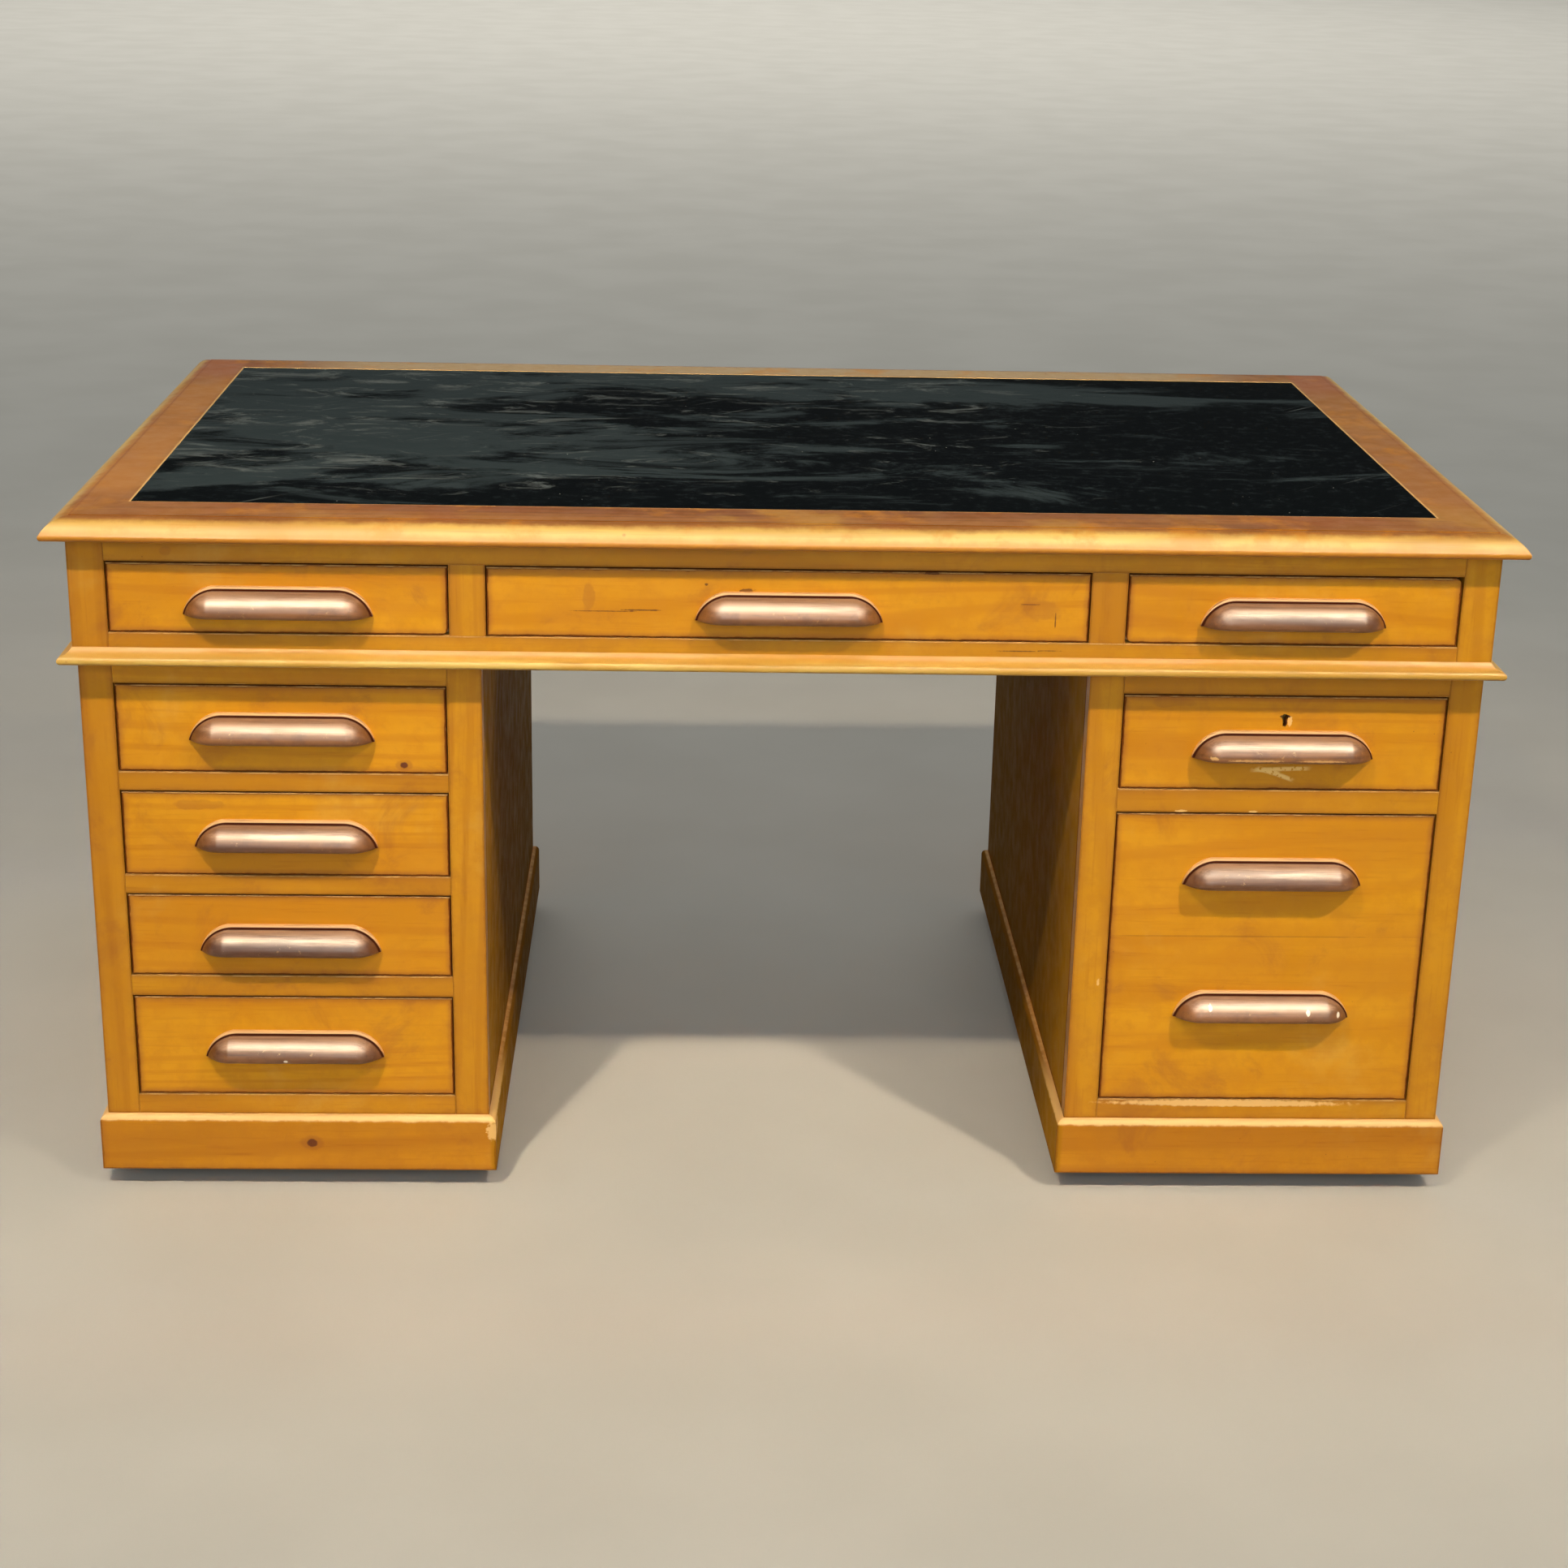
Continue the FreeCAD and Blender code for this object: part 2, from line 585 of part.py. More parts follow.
def pull(x, foot, face):
    """A rounded hood on a thin flange, hollowed for the fingers from below."""
    flange = arched(PULL_LONG / 2, PULL_HIGH, lambda p: vec(p[0], 0, p[1]))
    flange = flange.extrude(vec(0, -FLANGE_THICK, 0))
    half = PULL_LONG / 2 - RIM_END
    steps = [
        (0, HOLLOW_HIGH),
        ((HOLLOW_DEEP * 0.72, HOLLOW_HIGH * 0.72), (HOLLOW_DEEP, 0)),
    ]
    body = hood(half, PULL_HIGH - RIM).cut(bar(half - HOLLOW_END, steps))
    body.translate(vec(0, -FLANGE_THICK, 0))
    shape = flange.fuse(body).removeSplitter()
    shape.translate(vec(x, face + FRONT_SUNK, foot))
    return shape


def make_frieze_drawers():
    names = ("frieze_left", "frieze_centre", "frieze_right")
    worn = (("low_right",), (), ("low_left", "high_right"))
    z_range = (FRIEZE_OPEN_LOW, FRIEZE_OPEN_HIGH)
    for name, x_range, rounded in zip(names, frieze_openings(), worn):
        drawer(name, x_range, z_range, FRIEZE_FRONT, FRIEZE_DRAWER_LONG, rounded)
        save(name + "_pull", [pull(sum(x_range) / 2, FRIEZE_PULL_FOOT, FRIEZE_FRONT)])


def make_pedestal_drawers():
    middle = (PEDESTAL_OPEN_INNER + PEDESTAL_OPEN_OUTER) / 2
    left_x = (-PEDESTAL_OPEN_OUTER, -PEDESTAL_OPEN_INNER)
    right_x = (PEDESTAL_OPEN_INNER, PEDESTAL_OPEN_OUTER)
    for i, z_range in enumerate(LEFT_OPENINGS):
        name = "left_" + str(i + 1)
        drawer(name, left_x, z_range, PEDESTAL_FRONT, PEDESTAL_DRAWER_LONG)
        save(name + "_pull", [pull(-middle, LEFT_PULL_FEET[i], PEDESTAL_FRONT)])
    names = ("right_upper", "right_deep")
    cuts = (lock_cuts(), ())
    joints = (None, DEEP_BOARD_JOINT)
    for i, z_range in enumerate(RIGHT_OPENINGS):
        drawer(names[i], right_x, z_range, PEDESTAL_FRONT, PEDESTAL_DRAWER_LONG, (), cuts[i], joints[i])
        save(names[i] + "_pull", [pull(middle, foot, PEDESTAL_FRONT) for foot in RIGHT_PULL_FEET[i]])


# Lock


def keyhole(y0, y1):
    cylinder = Part.makeCylinder(KEY_R, y1 - y0, vec(LOCK_X, y0, KEY_Z), vec(0, 1, 0))
    slot = box(LOCK_X - KEY_SLOT / 2, LOCK_X + KEY_SLOT / 2, y0, y1, KEY_Z - KEY_DROP, KEY_Z)
    return cylinder.fuse(slot)


def lock_block():
    half = LOCK_WIDE / 2
    return box(LOCK_X - half, LOCK_X + half, LOCK_Y, LOCK_Y + LOCK_DEEP, LOCK_TOP - LOCK_HIGH, LOCK_TOP)


def lock_cuts():
    """What the upper right drawer front loses to its lock and keyhole."""
    return lock_block(), keyhole(PEDESTAL_FRONT, LOCK_Y)


def make_lock():
    x, y, half = BOLT_WIDE / 2, LOCK_Y + LOCK_DEEP / 2, BOLT_THICK / 2
    gap = BOLT_CLEAR
    foot = LOCK_TOP - BOLT_LONG
    bolt = box(LOCK_X - x, LOCK_X + x, y - half, y + half, foot, LOCK_TOP)
    slot = box(LOCK_X - x - gap, LOCK_X + x + gap, y - half - gap, y + half + gap, foot - gap, LOCK_TOP + 1)
    save("lock_bolt", [bolt])
    save("lock_case", [lock_block().cut([slot, keyhole(LOCK_Y - 1, LOCK_Y + KEY_DEEP)])])


# Castors


def castor_plate():
    """Cast plate screwed under the corner block, bored for the kingpin of the fork that turns below it."""
    side = PLATE_HALF
    plate = box(-side, side, -side, side, CROWN_HIGH + PLATE_GAP, PLATE_HIGH)
    return plate.cut(Part.makeCylinder(KINGPIN_R + KINGPIN_CLEAR, HEIGHT))


def castor_fork():
    """Crown with the kingpin on it and two cheeks under it, joined by the axle."""
    inner = WHEEL_WIDE / 2 + CHEEK_GAP
    outer = inner + CHEEK_THICK
    short = AXLE_BOSS * 0.45
    points = [
        (-CROWN_HALF * 0.7, CROWN_LOW + 1),
        (CROWN_HALF * 0.8, CROWN_LOW + 1),
        (TRAIL + AXLE_BOSS, WHEEL_R + short),
        (TRAIL + AXLE_BOSS, WHEEL_R - short),
        (TRAIL + short, WHEEL_R - AXLE_BOSS),
        (TRAIL - short, WHEEL_R - AXLE_BOSS),
        (TRAIL - AXLE_BOSS, WHEEL_R - short),
    ]
    cheek = Part.Face(wire(points[0], points[1:], lambda p: vec(p[0], inner, p[1])))
    cheek = cheek.extrude(vec(0, CHEEK_THICK, 0))
    other = cheek.mirror(vec(0, 0, 0), vec(0, 1, 0))
    crown = box(-CROWN_HALF, CROWN_HALF, -outer, outer, CROWN_LOW, CROWN_HIGH)
    axle = Part.makeCylinder(AXLE_R, 2 * inner, vec(TRAIL, -inner, WHEEL_R), vec(0, 1, 0))
    kingpin = Part.makeCylinder(KINGPIN_R, PLATE_HIGH - PLATE_GAP - CROWN_HIGH, vec(0, 0, CROWN_HIGH))
    return crown.fuse([cheek, other, axle, kingpin]).removeSplitter()


def castor_wheel():
    """A plain disc with its bore."""
    start, along = vec(TRAIL, -WHEEL_WIDE / 2, WHEEL_R), vec(0, 1, 0)
    bore = Part.makeCylinder(AXLE_R + AXLE_CLEAR, WHEEL_WIDE, start, along)
    return Part.makeCylinder(WHEEL_R, WHEEL_WIDE, start, along).cut(bore)


def make_castors():
    """Two castors near the front and two near the back of each pedestal, trailing away from the middle."""
    x_inner = PEDESTAL_INNER - PLINTH_PROUD + PLINTH_THICK + SWIVEL_CLEAR
    x_outer = PEDESTAL_SIDE + PLINTH_PROUD - PLINTH_THICK - SWIVEL_CLEAR
    y_front = PLINTH_FRONT + PLINTH_THICK + SWIVEL_CLEAR
    y_back = PLINTH_BACK - PLINTH_THICK - SWIVEL_CLEAR
    plates = []
    for side, sign in (("left", -1), ("right", 1)):
        for depth, y in (("front", y_front), ("back", y_back)):
            for edge, x in (("inner", x_inner), ("outer", x_outer)):
                name = "_".join((side, depth, edge))
                place = vec(sign * x, y, 0)
                fork, wheel = castor_fork(), castor_wheel()
                if sign < 0:
                    fork, wheel = mirror_x(fork), mirror_x(wheel)
                fork.translate(place)
                wheel.translate(place)
                save("fork_" + name, [fork])
                save("wheel_" + name, [wheel])
                plate = castor_plate()
                plate.translate(place)
                plates.append(plate)
    save("castor_plates", plates)


def main():
    os.makedirs("parts", exist_ok=True)
    make_desktop()
    make_frieze_face_frame()
    make_frieze_case()
    make_waist_moulding()
    make_frieze_runners()
    make_pedestal_runners()
    make_pedestals()
    make_frieze_drawers()
    make_pedestal_drawers()
    make_lock()
    make_castors()


main()
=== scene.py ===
import json
import math

import bmesh
import bpy
from mathutils import Matrix, Vector

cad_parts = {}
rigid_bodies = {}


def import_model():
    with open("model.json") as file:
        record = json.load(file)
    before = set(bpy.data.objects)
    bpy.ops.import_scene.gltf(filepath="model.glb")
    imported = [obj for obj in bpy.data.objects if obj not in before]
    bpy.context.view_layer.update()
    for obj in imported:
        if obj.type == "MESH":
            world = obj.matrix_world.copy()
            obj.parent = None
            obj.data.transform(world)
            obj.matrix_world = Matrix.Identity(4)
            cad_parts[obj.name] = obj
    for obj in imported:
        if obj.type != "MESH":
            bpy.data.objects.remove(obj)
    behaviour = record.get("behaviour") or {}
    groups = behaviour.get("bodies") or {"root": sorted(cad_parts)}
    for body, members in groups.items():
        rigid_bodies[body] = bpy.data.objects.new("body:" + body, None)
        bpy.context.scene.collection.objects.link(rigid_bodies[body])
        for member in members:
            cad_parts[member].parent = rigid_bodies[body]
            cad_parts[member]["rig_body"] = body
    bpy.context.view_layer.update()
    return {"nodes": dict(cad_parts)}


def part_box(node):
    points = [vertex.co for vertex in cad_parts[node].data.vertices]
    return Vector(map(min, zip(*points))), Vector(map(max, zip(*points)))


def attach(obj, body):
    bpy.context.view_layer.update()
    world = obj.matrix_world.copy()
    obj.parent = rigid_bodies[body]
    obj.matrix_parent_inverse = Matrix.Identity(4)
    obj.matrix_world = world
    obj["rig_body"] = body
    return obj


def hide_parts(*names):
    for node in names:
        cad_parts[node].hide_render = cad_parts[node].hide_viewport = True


# Looks of the pedestal desk. Lengths are in metres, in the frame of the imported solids.
# The floor is z = 0, x runs along the width and the drawers open towards -y.

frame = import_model()

MM = 0.001
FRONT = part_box("right_face_frame")[0].y

# The camera, solved from the photograph
IMAGE_SIZE = 1932
FOCAL_PIXELS = 3336.6
SENSOR = 36.0
CAMERA_PLACE = Vector((-0.1007, -3.1380, 1.4370))
CAMERA_PITCH = math.radians(19.314)
CAMERA_YAW = math.radians(2.099)
CAMERA_ROLL = math.radians(-1.239)

# Colours, linear
GOLD = (0.62, 0.275, 0.005, 1)
AMBER = (0.50, 0.195, 0.004, 1)
FRAME_GOLD = (0.54, 0.240, 0.006, 1)
FRAME_AMBER = (0.43, 0.170, 0.005, 1)
PLINTH_GOLD = (0.53, 0.215, 0.005, 1)
PLINTH_AMBER = (0.41, 0.150, 0.004, 1)
HONEY = (0.61, 0.400, 0.095, 1)
HONEY_DARK = (0.50, 0.260, 0.036, 1)
# Painted shade for the kneehole sides, the darker one further back
SHADED_PINE = (0.40, 0.185, 0.010, 1)
SHADED_PINE_DARK = (0.16, 0.070, 0.003, 1)
RED_BROWN = (0.235, 0.065, 0.014, 1)
BORDER_LIGHT = (0.31, 0.124, 0.024, 1)
BORDER_DARK = (0.21, 0.070, 0.014, 1)
SIDE_GOLD = (0.42, 0.170, 0.034, 1)
CORNER_RED = (0.33, 0.110, 0.040, 1)
# A painted sheen for the back border
PAINTED_BACK_SHEEN = (0.44, 0.320, 0.170, 1)
# Dark soiling, also painted as shade along board edges and in the gaps round drawer fronts, and the
# colour of real seams
DIRT_AND_SHADE_BROWN = (0.120, 0.028, 0.004, 1)
# Dark soiling, also painted as the shade of the keyhole opening
GRIME_AND_SHADE = (0.055, 0.012, 0.006, 1)
# Pale worn wood, also used as a painted highlight on upper edges and the fronts of the plinth tops
PALE_WEAR_AND_HIGHLIGHT = (0.82, 0.50, 0.18, 1)
PINE_RAW = (0.62, 0.41, 0.21, 1)
PINE_RAW_DARK = (0.40, 0.23, 0.10, 1)
PULL_BROWN = (0.29, 0.115, 0.028, 1)
PULL_DARK = (0.10, 0.032, 0.010, 1)
PULL_WORN_AND_HIGHLIGHT = (0.52, 0.330, 0.215, 1)
# Golden rim of the pulls: partly worn, partly a painted highlight
PULL_RIM_WEAR_AND_HIGHLIGHT = (0.72, 0.420, 0.170, 1)
COAT_TINT = (1.0, 0.92, 0.82, 1)
# Dark brown of knots, also painted as shade along the bottom of the pull hoods
KNOT_AND_SHADE_BROWN = (0.12, 0.030, 0.008, 1)
PAINT_WHITE = (0.85, 0.80, 0.70, 1)
BRASS = (0.52, 0.36, 0.14, 1)
BRASS_DARK = (0.20, 0.13, 0.06, 1)
IRON = (0.10, 0.10, 0.10, 1)
IRON_DARK = (0.05, 0.035, 0.028, 1)
WHEEL_GREY = (0.20, 0.20, 0.205, 1)
WHEEL_DARK = (0.090, 0.090, 0.090, 1)
LEATHER_BLACK = (0.0015, 0.0025, 0.0032, 1)
LEATHER_GREY = (0.027, 0.037, 0.041, 1)
LEATHER_PALE = (0.105, 0.120, 0.120, 1)
SCUFF = (0.76, 0.48, 0.150, 1)
FLOOR_DARK = (0.47, 0.455, 0.42, 1)
FLOOR_LIGHT = (0.50, 0.485, 0.45, 1)

# Colours of the lights
WARM = (1.0, 0.84, 0.62)
COOL = (0.94, 1.0, 1.0)
STRIP_WARM = (1.0, 0.94, 0.80)
FAR_WARM = (1.0, 0.97, 0.90)

# Sizes of a pull
PULL_HIGH = 30 * MM
PULL_END = 30 * MM
FLANGE = 5 * MM
RIM = 4 * MM
RIM_END = 1.5 * MM
HOOD_LIP = 6 * MM
HOOD_EASE = 2.44  # how fast the hood swells from its end
END_LONG, END_HIGH = 0.35, 0.65  # a point of the rounded end, in shares of its length and height
HOLLOW_END = 26 * MM
HOLLOW_DEEP = 16 * MM
HOLLOW_HIGH = 16 * MM
HOLLOW_STEPS = 6

# Softened edges
BOARD_EDGE = 0.5 * MM
FRAME_EDGE = 0.4 * MM
WHEEL_EDGE = 1.5 * MM
SAME_PLANE = math.radians(0.4)  # faces that turn less than this are joined
SHARP_EDGE = math.radians(28)  # edges that turn more than this are softened
SMOOTH_SHADING = math.radians(35)

GLOSS = 0.30  # of the varnish
INDEX = 1.45  # of the varnish
BORDER_INDEX = 1.20  # of the dull varnish round the leather
ALONG = 0.055  # how fast the grain changes along a board, as a share of across it
FLOOR = 60.0  # half the width of the floor


def circle_through(a, b, c):
    """Centre and radius of the circle through three points."""
    twice = 2 * (a[0] * (b[1] - c[1]) + b[0] * (c[1] - a[1]) + c[0] * (a[1] - b[1]))
    square = [p[0] ** 2 + p[1] ** 2 for p in (a, b, c)]
    x = (square[0] * (b[1] - c[1]) + square[1] * (c[1] - a[1]) + square[2] * (a[1] - b[1])) / twice
    y = (square[0] * (c[0] - b[0]) + square[1] * (a[0] - c[0]) + square[2] * (b[0] - a[0])) / twice
    return x, y, math.hypot(a[0] - x, a[1] - y)


class Look:
    """A node material, with a short call for each kind of node."""

    def __init__(self, name):
        self.material = bpy.data.materials.new(name)
        self.material.use_nodes = True
        self.tree = self.material.node_tree
        self.tree.nodes.clear()

    def add(self, kind, inputs=None, **settings):
        """A node, with each of its inputs linked or set."""
        node = self.tree.nodes.new("ShaderNode" + kind)
        for key, value in settings.items():
            setattr(node, key, value)
        for key, value in (inputs or {}).items():
            if isinstance(value, bpy.types.NodeSocket):
                self.tree.links.new(value, node.inputs[key])
            else:
                node.inputs[key].default_value = value
        return node

    def place(self):
        """The place on the object, in metres."""
        return self.add("TexCoord").outputs["Object"]

    def board(self, name):
        """A value that every face of a board carries."""
        return self.add("Attribute", attribute_type="GEOMETRY", attribute_name=name)

    def math(self, operation, a, b=0.0):
        return self.add("Math", {0: a, 1: b}, operation=operation).outputs[0]

    def plus(self, a, b):
        return self.math("ADD", a, b)

    def minus(self, a, b):
        return self.math("SUBTRACT", a, b)

    def times(self, a, b):
        return self.math("MULTIPLY", a, b)

    def over(self, a, b):
        return self.math("DIVIDE", a, b)

    def least(self, a, b):
        return self.math("MINIMUM", a, b)

    def most(self, a, b):
        return self.math("MAXIMUM", a, b)

    def absolute(self, a):
        return self.math("ABSOLUTE", a)

    def vector(self, operation, a, b=(0, 0, 0)):
        return self.add("VectorMath", {0: a, 1: b}, operation=operation).outputs[0]

    def scaled(self, a, factor):
        return self.add("VectorMath", {0: a, "Scale": factor}, operation="SCALE").outputs[0]

    def dot(self, a, b):
        return self.add("VectorMath", {0: a, 1: b}, operation="DOT_PRODUCT").outputs["Value"]

    def parts(self, a):
        return self.add("SeparateXYZ", {0: a}).outputs

    def noise(self, place, scale, detail=2.0, roughness=0.5, distortion=0.0):
        inputs = {
            "Vector": place, "Scale": scale, "Detail": detail,
            "Roughness": roughness, "Distortion": distortion,
        }
        return self.add("TexNoise", inputs).outputs[0]

    def dots(self, place, scale):
        """Distance to the nearest of many scattered points."""
        return self.add("TexVoronoi", {"Vector": place, "Scale": scale}).outputs["Distance"]

    def ramp(self, value, low, high, to_low=0.0, to_high=1.0):
        """value from low to high, eased, as to_low to to_high."""
        inputs = {0: value, 1: low, 2: high, 3: to_low, 4: to_high}
        return self.add("MapRange", inputs, interpolation_type="SMOOTHSTEP").outputs[0]

    def mix(self, share, a, b, blend="MIX"):
        inputs = {0: share, 6: a, 7: b}
        return self.add("Mix", inputs, data_type="RGBA", blend_type=blend).outputs[2]

    def bump(self, height, strength, distance, below=None):
        inputs = {"Height": height, "Strength": strength, "Distance": distance}
        if below is not None:
            inputs["Normal"] = below
        return self.add("Bump", inputs).outputs[0]

    def finish(self, usual=None, **inputs):
        """The whole material. usual gives linked inputs a plain value, for copies without links."""
        surface = self.add("BsdfPrincipled", inputs)
        for key, value in (usual or {}).items():
            surface.inputs[key].default_value = value
        self.add("OutputMaterial", {0: surface.outputs[0]})
        return self.material


# Places on a board


def grain_place(look, along=ALONG):
    """Object place drawn out along the grain of each board, and shifted from board to board."""
    place = look.place()
    grain = look.board("grain").outputs["Vector"]
    run = look.dot(place, grain)
    drawn = look.vector("SUBTRACT", place, look.scaled(grain, look.times(run, 1 - along)))
    seed = look.scaled(look.board("seed").outputs["Vector"], 3.0)
    return look.vector("ADD", drawn, seed)


def edge_distance(look):
    """Distance from a point on a board's face to the nearest edge of that board."""
    near = look.vector("SUBTRACT", look.place(), look.board("low").outputs["Vector"])
    far = look.vector("SUBTRACT", look.board("high").outputs["Vector"], look.place())
    x, y, z = look.parts(look.vector("MINIMUM", near, far))
    low_pair = look.least(x, y)
    high_pair = look.most(x, y)
    return look.most(low_pair, look.least(high_pair, z))


def painted_gap_shade(look):
    """1 on the faces of a drawer front that line its gaps and its keyhole, where shade is painted.
    """
    facing = look.absolute(look.parts(look.add("TexCoord").outputs["Normal"])[1])
    front = look.parts(look.board("low").outputs["Vector"])[1]
    depth = look.minus(look.parts(look.place())[1], front)
    return look.times(look.ramp(facing, 0.5, 0.3), look.ramp(depth, 0.2 * MM, 1.2 * MM))


def spot(look, x, z, long, high, ragged=0.35, grain=220.0):
    """1 inside an uneven ellipse on a front, 0 outside and further back."""
    px, py, pz = look.parts(look.place())
    dx = look.over(look.minus(px, x), long)
    dz = look.over(look.minus(pz, z), high)
    reach = look.math("SQRT", look.plus(look.times(dx, dx), look.times(dz, dz)))
    uneven = look.noise(look.place(), grain, 3)
    uneven = look.times(look.minus(uneven, 0.5), 2 * ragged)
    inside = look.ramp(look.plus(reach, uneven), 1.15, 0.75)
    return look.times(inside, look.ramp(py, FRONT + 30 * MM, FRONT + 10 * MM))


def scratch(look, x, z, run, rise):
    """1 on a thin broken line through x, z on a front. It ends run and rise away on both sides."""
    half = math.hypot(run, rise)
    px, _, pz = look.parts(look.place())
    dx = look.minus(px, x)
    dz = look.minus(pz, z)
    along = look.plus(look.times(dx, run / half), look.times(dz, rise / half))
    across = look.minus(look.times(dx, rise / half), look.times(dz, run / half))
    wobble = look.times(look.noise(look.place(), 90.0, 3.0), 1.6 * MM)
    across = look.absolute(look.plus(across, wobble))
    line = look.ramp(across, 3.2 * MM, 1.0 * MM)
    length = look.ramp(look.absolute(along), half, half * 0.6)
    broken = look.ramp(look.noise(look.place(), 240.0, 2.0), 0.34, 0.48)
    return look.times(look.times(line, length), broken)


def knot(look, colour, x, z, size):
    """A round knot and the darker wood round it."""
    halo = spot(look, x, z, size * 2.2, size * 1.5, 0.3, 120.0)
    colour = look.mix(look.times(halo, 0.35), colour, RED_BROWN)
    core = spot(look, x, z, size, size * 0.85, 0.25, 300.0)
    return look.mix(core, colour, KNOT_AND_SHADE_BROWN)


def with_marks(look, colour, marks):
    """A colour with the marks of one piece on it."""
    for kind, x, z, long, high in marks:
        if kind == "knot":
            colour = knot(look, colour, x, z, long)
        elif kind == "scratch":
            colour = look.mix(scratch(look, x, z, long, high), colour, SCUFF)
        else:
            tint, share, ragged, grain = MARK_KINDS[kind]
            place = spot(look, x, z, long, high, ragged, grain)
            colour = look.mix(look.times(place, share), colour, tint)
    return colour


# Woods


def wood_figure(look, light, dark, ring=0.22, fine=0.20):
    """Colour of bare grain: slow bands, contour rings and fine streaks."""
    place = grain_place(look)
    bands = look.noise(place, 14.0, 4.0, 0.55)
    colour = look.mix(look.ramp(bands, 0.34, 0.68), light, dark)
    contour = look.math("SINE", look.times(look.noise(place, 7.0, 1.5, 0.4), 95.0))
    rings = look.times(look.ramp(contour, 0.1, 1.0), ring)
    streaks = look.times(look.ramp(look.noise(place, 240.0, 3.0, 0.6), 0.52, 0.75), fine)
    shade = look.plus(rings, streaks)
    return look.mix(shade, colour, dark, "MULTIPLY"), place


def aged(look, colour, dark):
    """Slow patina, mottling and smoky patches over a colour, and the patina itself."""
    patina = look.noise(look.place(), 5.5, 5.0, 0.62)
    colour = look.mix(look.ramp(patina, 0.44, 0.74, 0.0, 0.75), colour, dark)
    colour = look.mix(look.ramp(patina, 0.44, 0.26, 0.0, 0.30), colour, HONEY)
    mottle = look.noise(look.place(), 42.0, 4.0, 0.65)
    colour = look.mix(look.ramp(mottle, 0.40, 0.68, 0.0, 0.55), colour, dark)
    smoke = look.ramp(look.noise(look.place(), 11.0, 5.0, 0.66, 0.8), 0.54, 0.72, 0.0, 0.34)
    return look.mix(smoke, colour, RED_BROWN), patina


def in_shade(look, colour, patina, shaded):
    """Painted shade on the wood within a distance from the middle, deeper towards the back, and a
    duller varnish there: its colour and its index.
    """
    x, y, _ = look.parts(look.place())
    inside = look.ramp(look.absolute(x), shaded + 8 * MM, shaded + 2 * MM)
    depth = look.plus(y, look.times(patina, 0.3))
    depth = look.ramp(depth, FRONT + 0.10, FRONT + 0.45)
    gloom = look.mix(depth, SHADED_PINE, SHADED_PINE_DARK)
    return look.mix(inside, colour, gloom), look.minus(INDEX, look.times(inside, 0.42))


def edge_dirt_and_shade(look, colour, edge, uneven, edge_dirt_shade_share):
    """A reddish band and a dark line along the edges of a board, partly soiling and partly painted
    shade, and their share.
    """
    reach = look.times(uneven, 5 * MM)
    # Reddish band and dark line at the edges: partly soiling, partly painted shade.
    red_dirt_and_shade = look.ramp(look.minus(edge, reach), 6 * MM, -1 * MM, 0.0, 0.5 * edge_dirt_shade_share)
    colour = look.mix(red_dirt_and_shade, colour, RED_BROWN)
    inward = look.minus(edge, look.times(reach, 0.6))
    dirt_and_shade = look.ramp(inward, 0.9 * MM, -0.3 * MM, 0.0, edge_dirt_shade_share)
    return look.mix(dirt_and_shade, colour, DIRT_AND_SHADE_BROWN), dirt_and_shade


def upper_arris_highlight(look, uneven):
    """A painted highlight along the upper front edge of boards whose grain lies level."""
    level = look.minus(1.0, look.parts(look.board("grain").outputs["Vector"])[2])
    top = look.parts(look.board("high").outputs["Vector"])[2]
    below = look.minus(top, look.parts(look.place())[2])
    line = look.times(look.ramp(below, 1.8 * MM, 0.9 * MM), level)
    return look.times(line, look.ramp(uneven, 0.35, 0.65, 0.12, 0.45))


def bared_and_highlit_wood(look, edge, uneven, worn):
    """Share of pale wood: bared by use at the rims, a painted highlight along upper edges, and near
    the front above worn partly bared wood and partly painted highlight.
    """
    rim = look.ramp(edge, 1.1 * MM, 0.3 * MM)
    wear_and_highlight = look.times(rim, look.ramp(uneven, 0.62, 0.74, 0.0, 0.3))
    wear_and_highlight = look.most(wear_and_highlight, upper_arris_highlight(look, uneven))
    if not worn:
        return wear_and_highlight
    # Near the front above worn: partly bared wood, partly a painted highlight where the lamps catch
    # the edge.
    _, y, z = look.parts(look.place())
    height = look.plus(z, look.times(uneven, 6 * MM))
    bared = look.ramp(height, worn, worn + 3 * MM, 0.0, 0.85)
    bared = look.times(bared, look.ramp(y, FRONT + 0.20, FRONT + 0.04))
    return look.most(wear_and_highlight, bared)


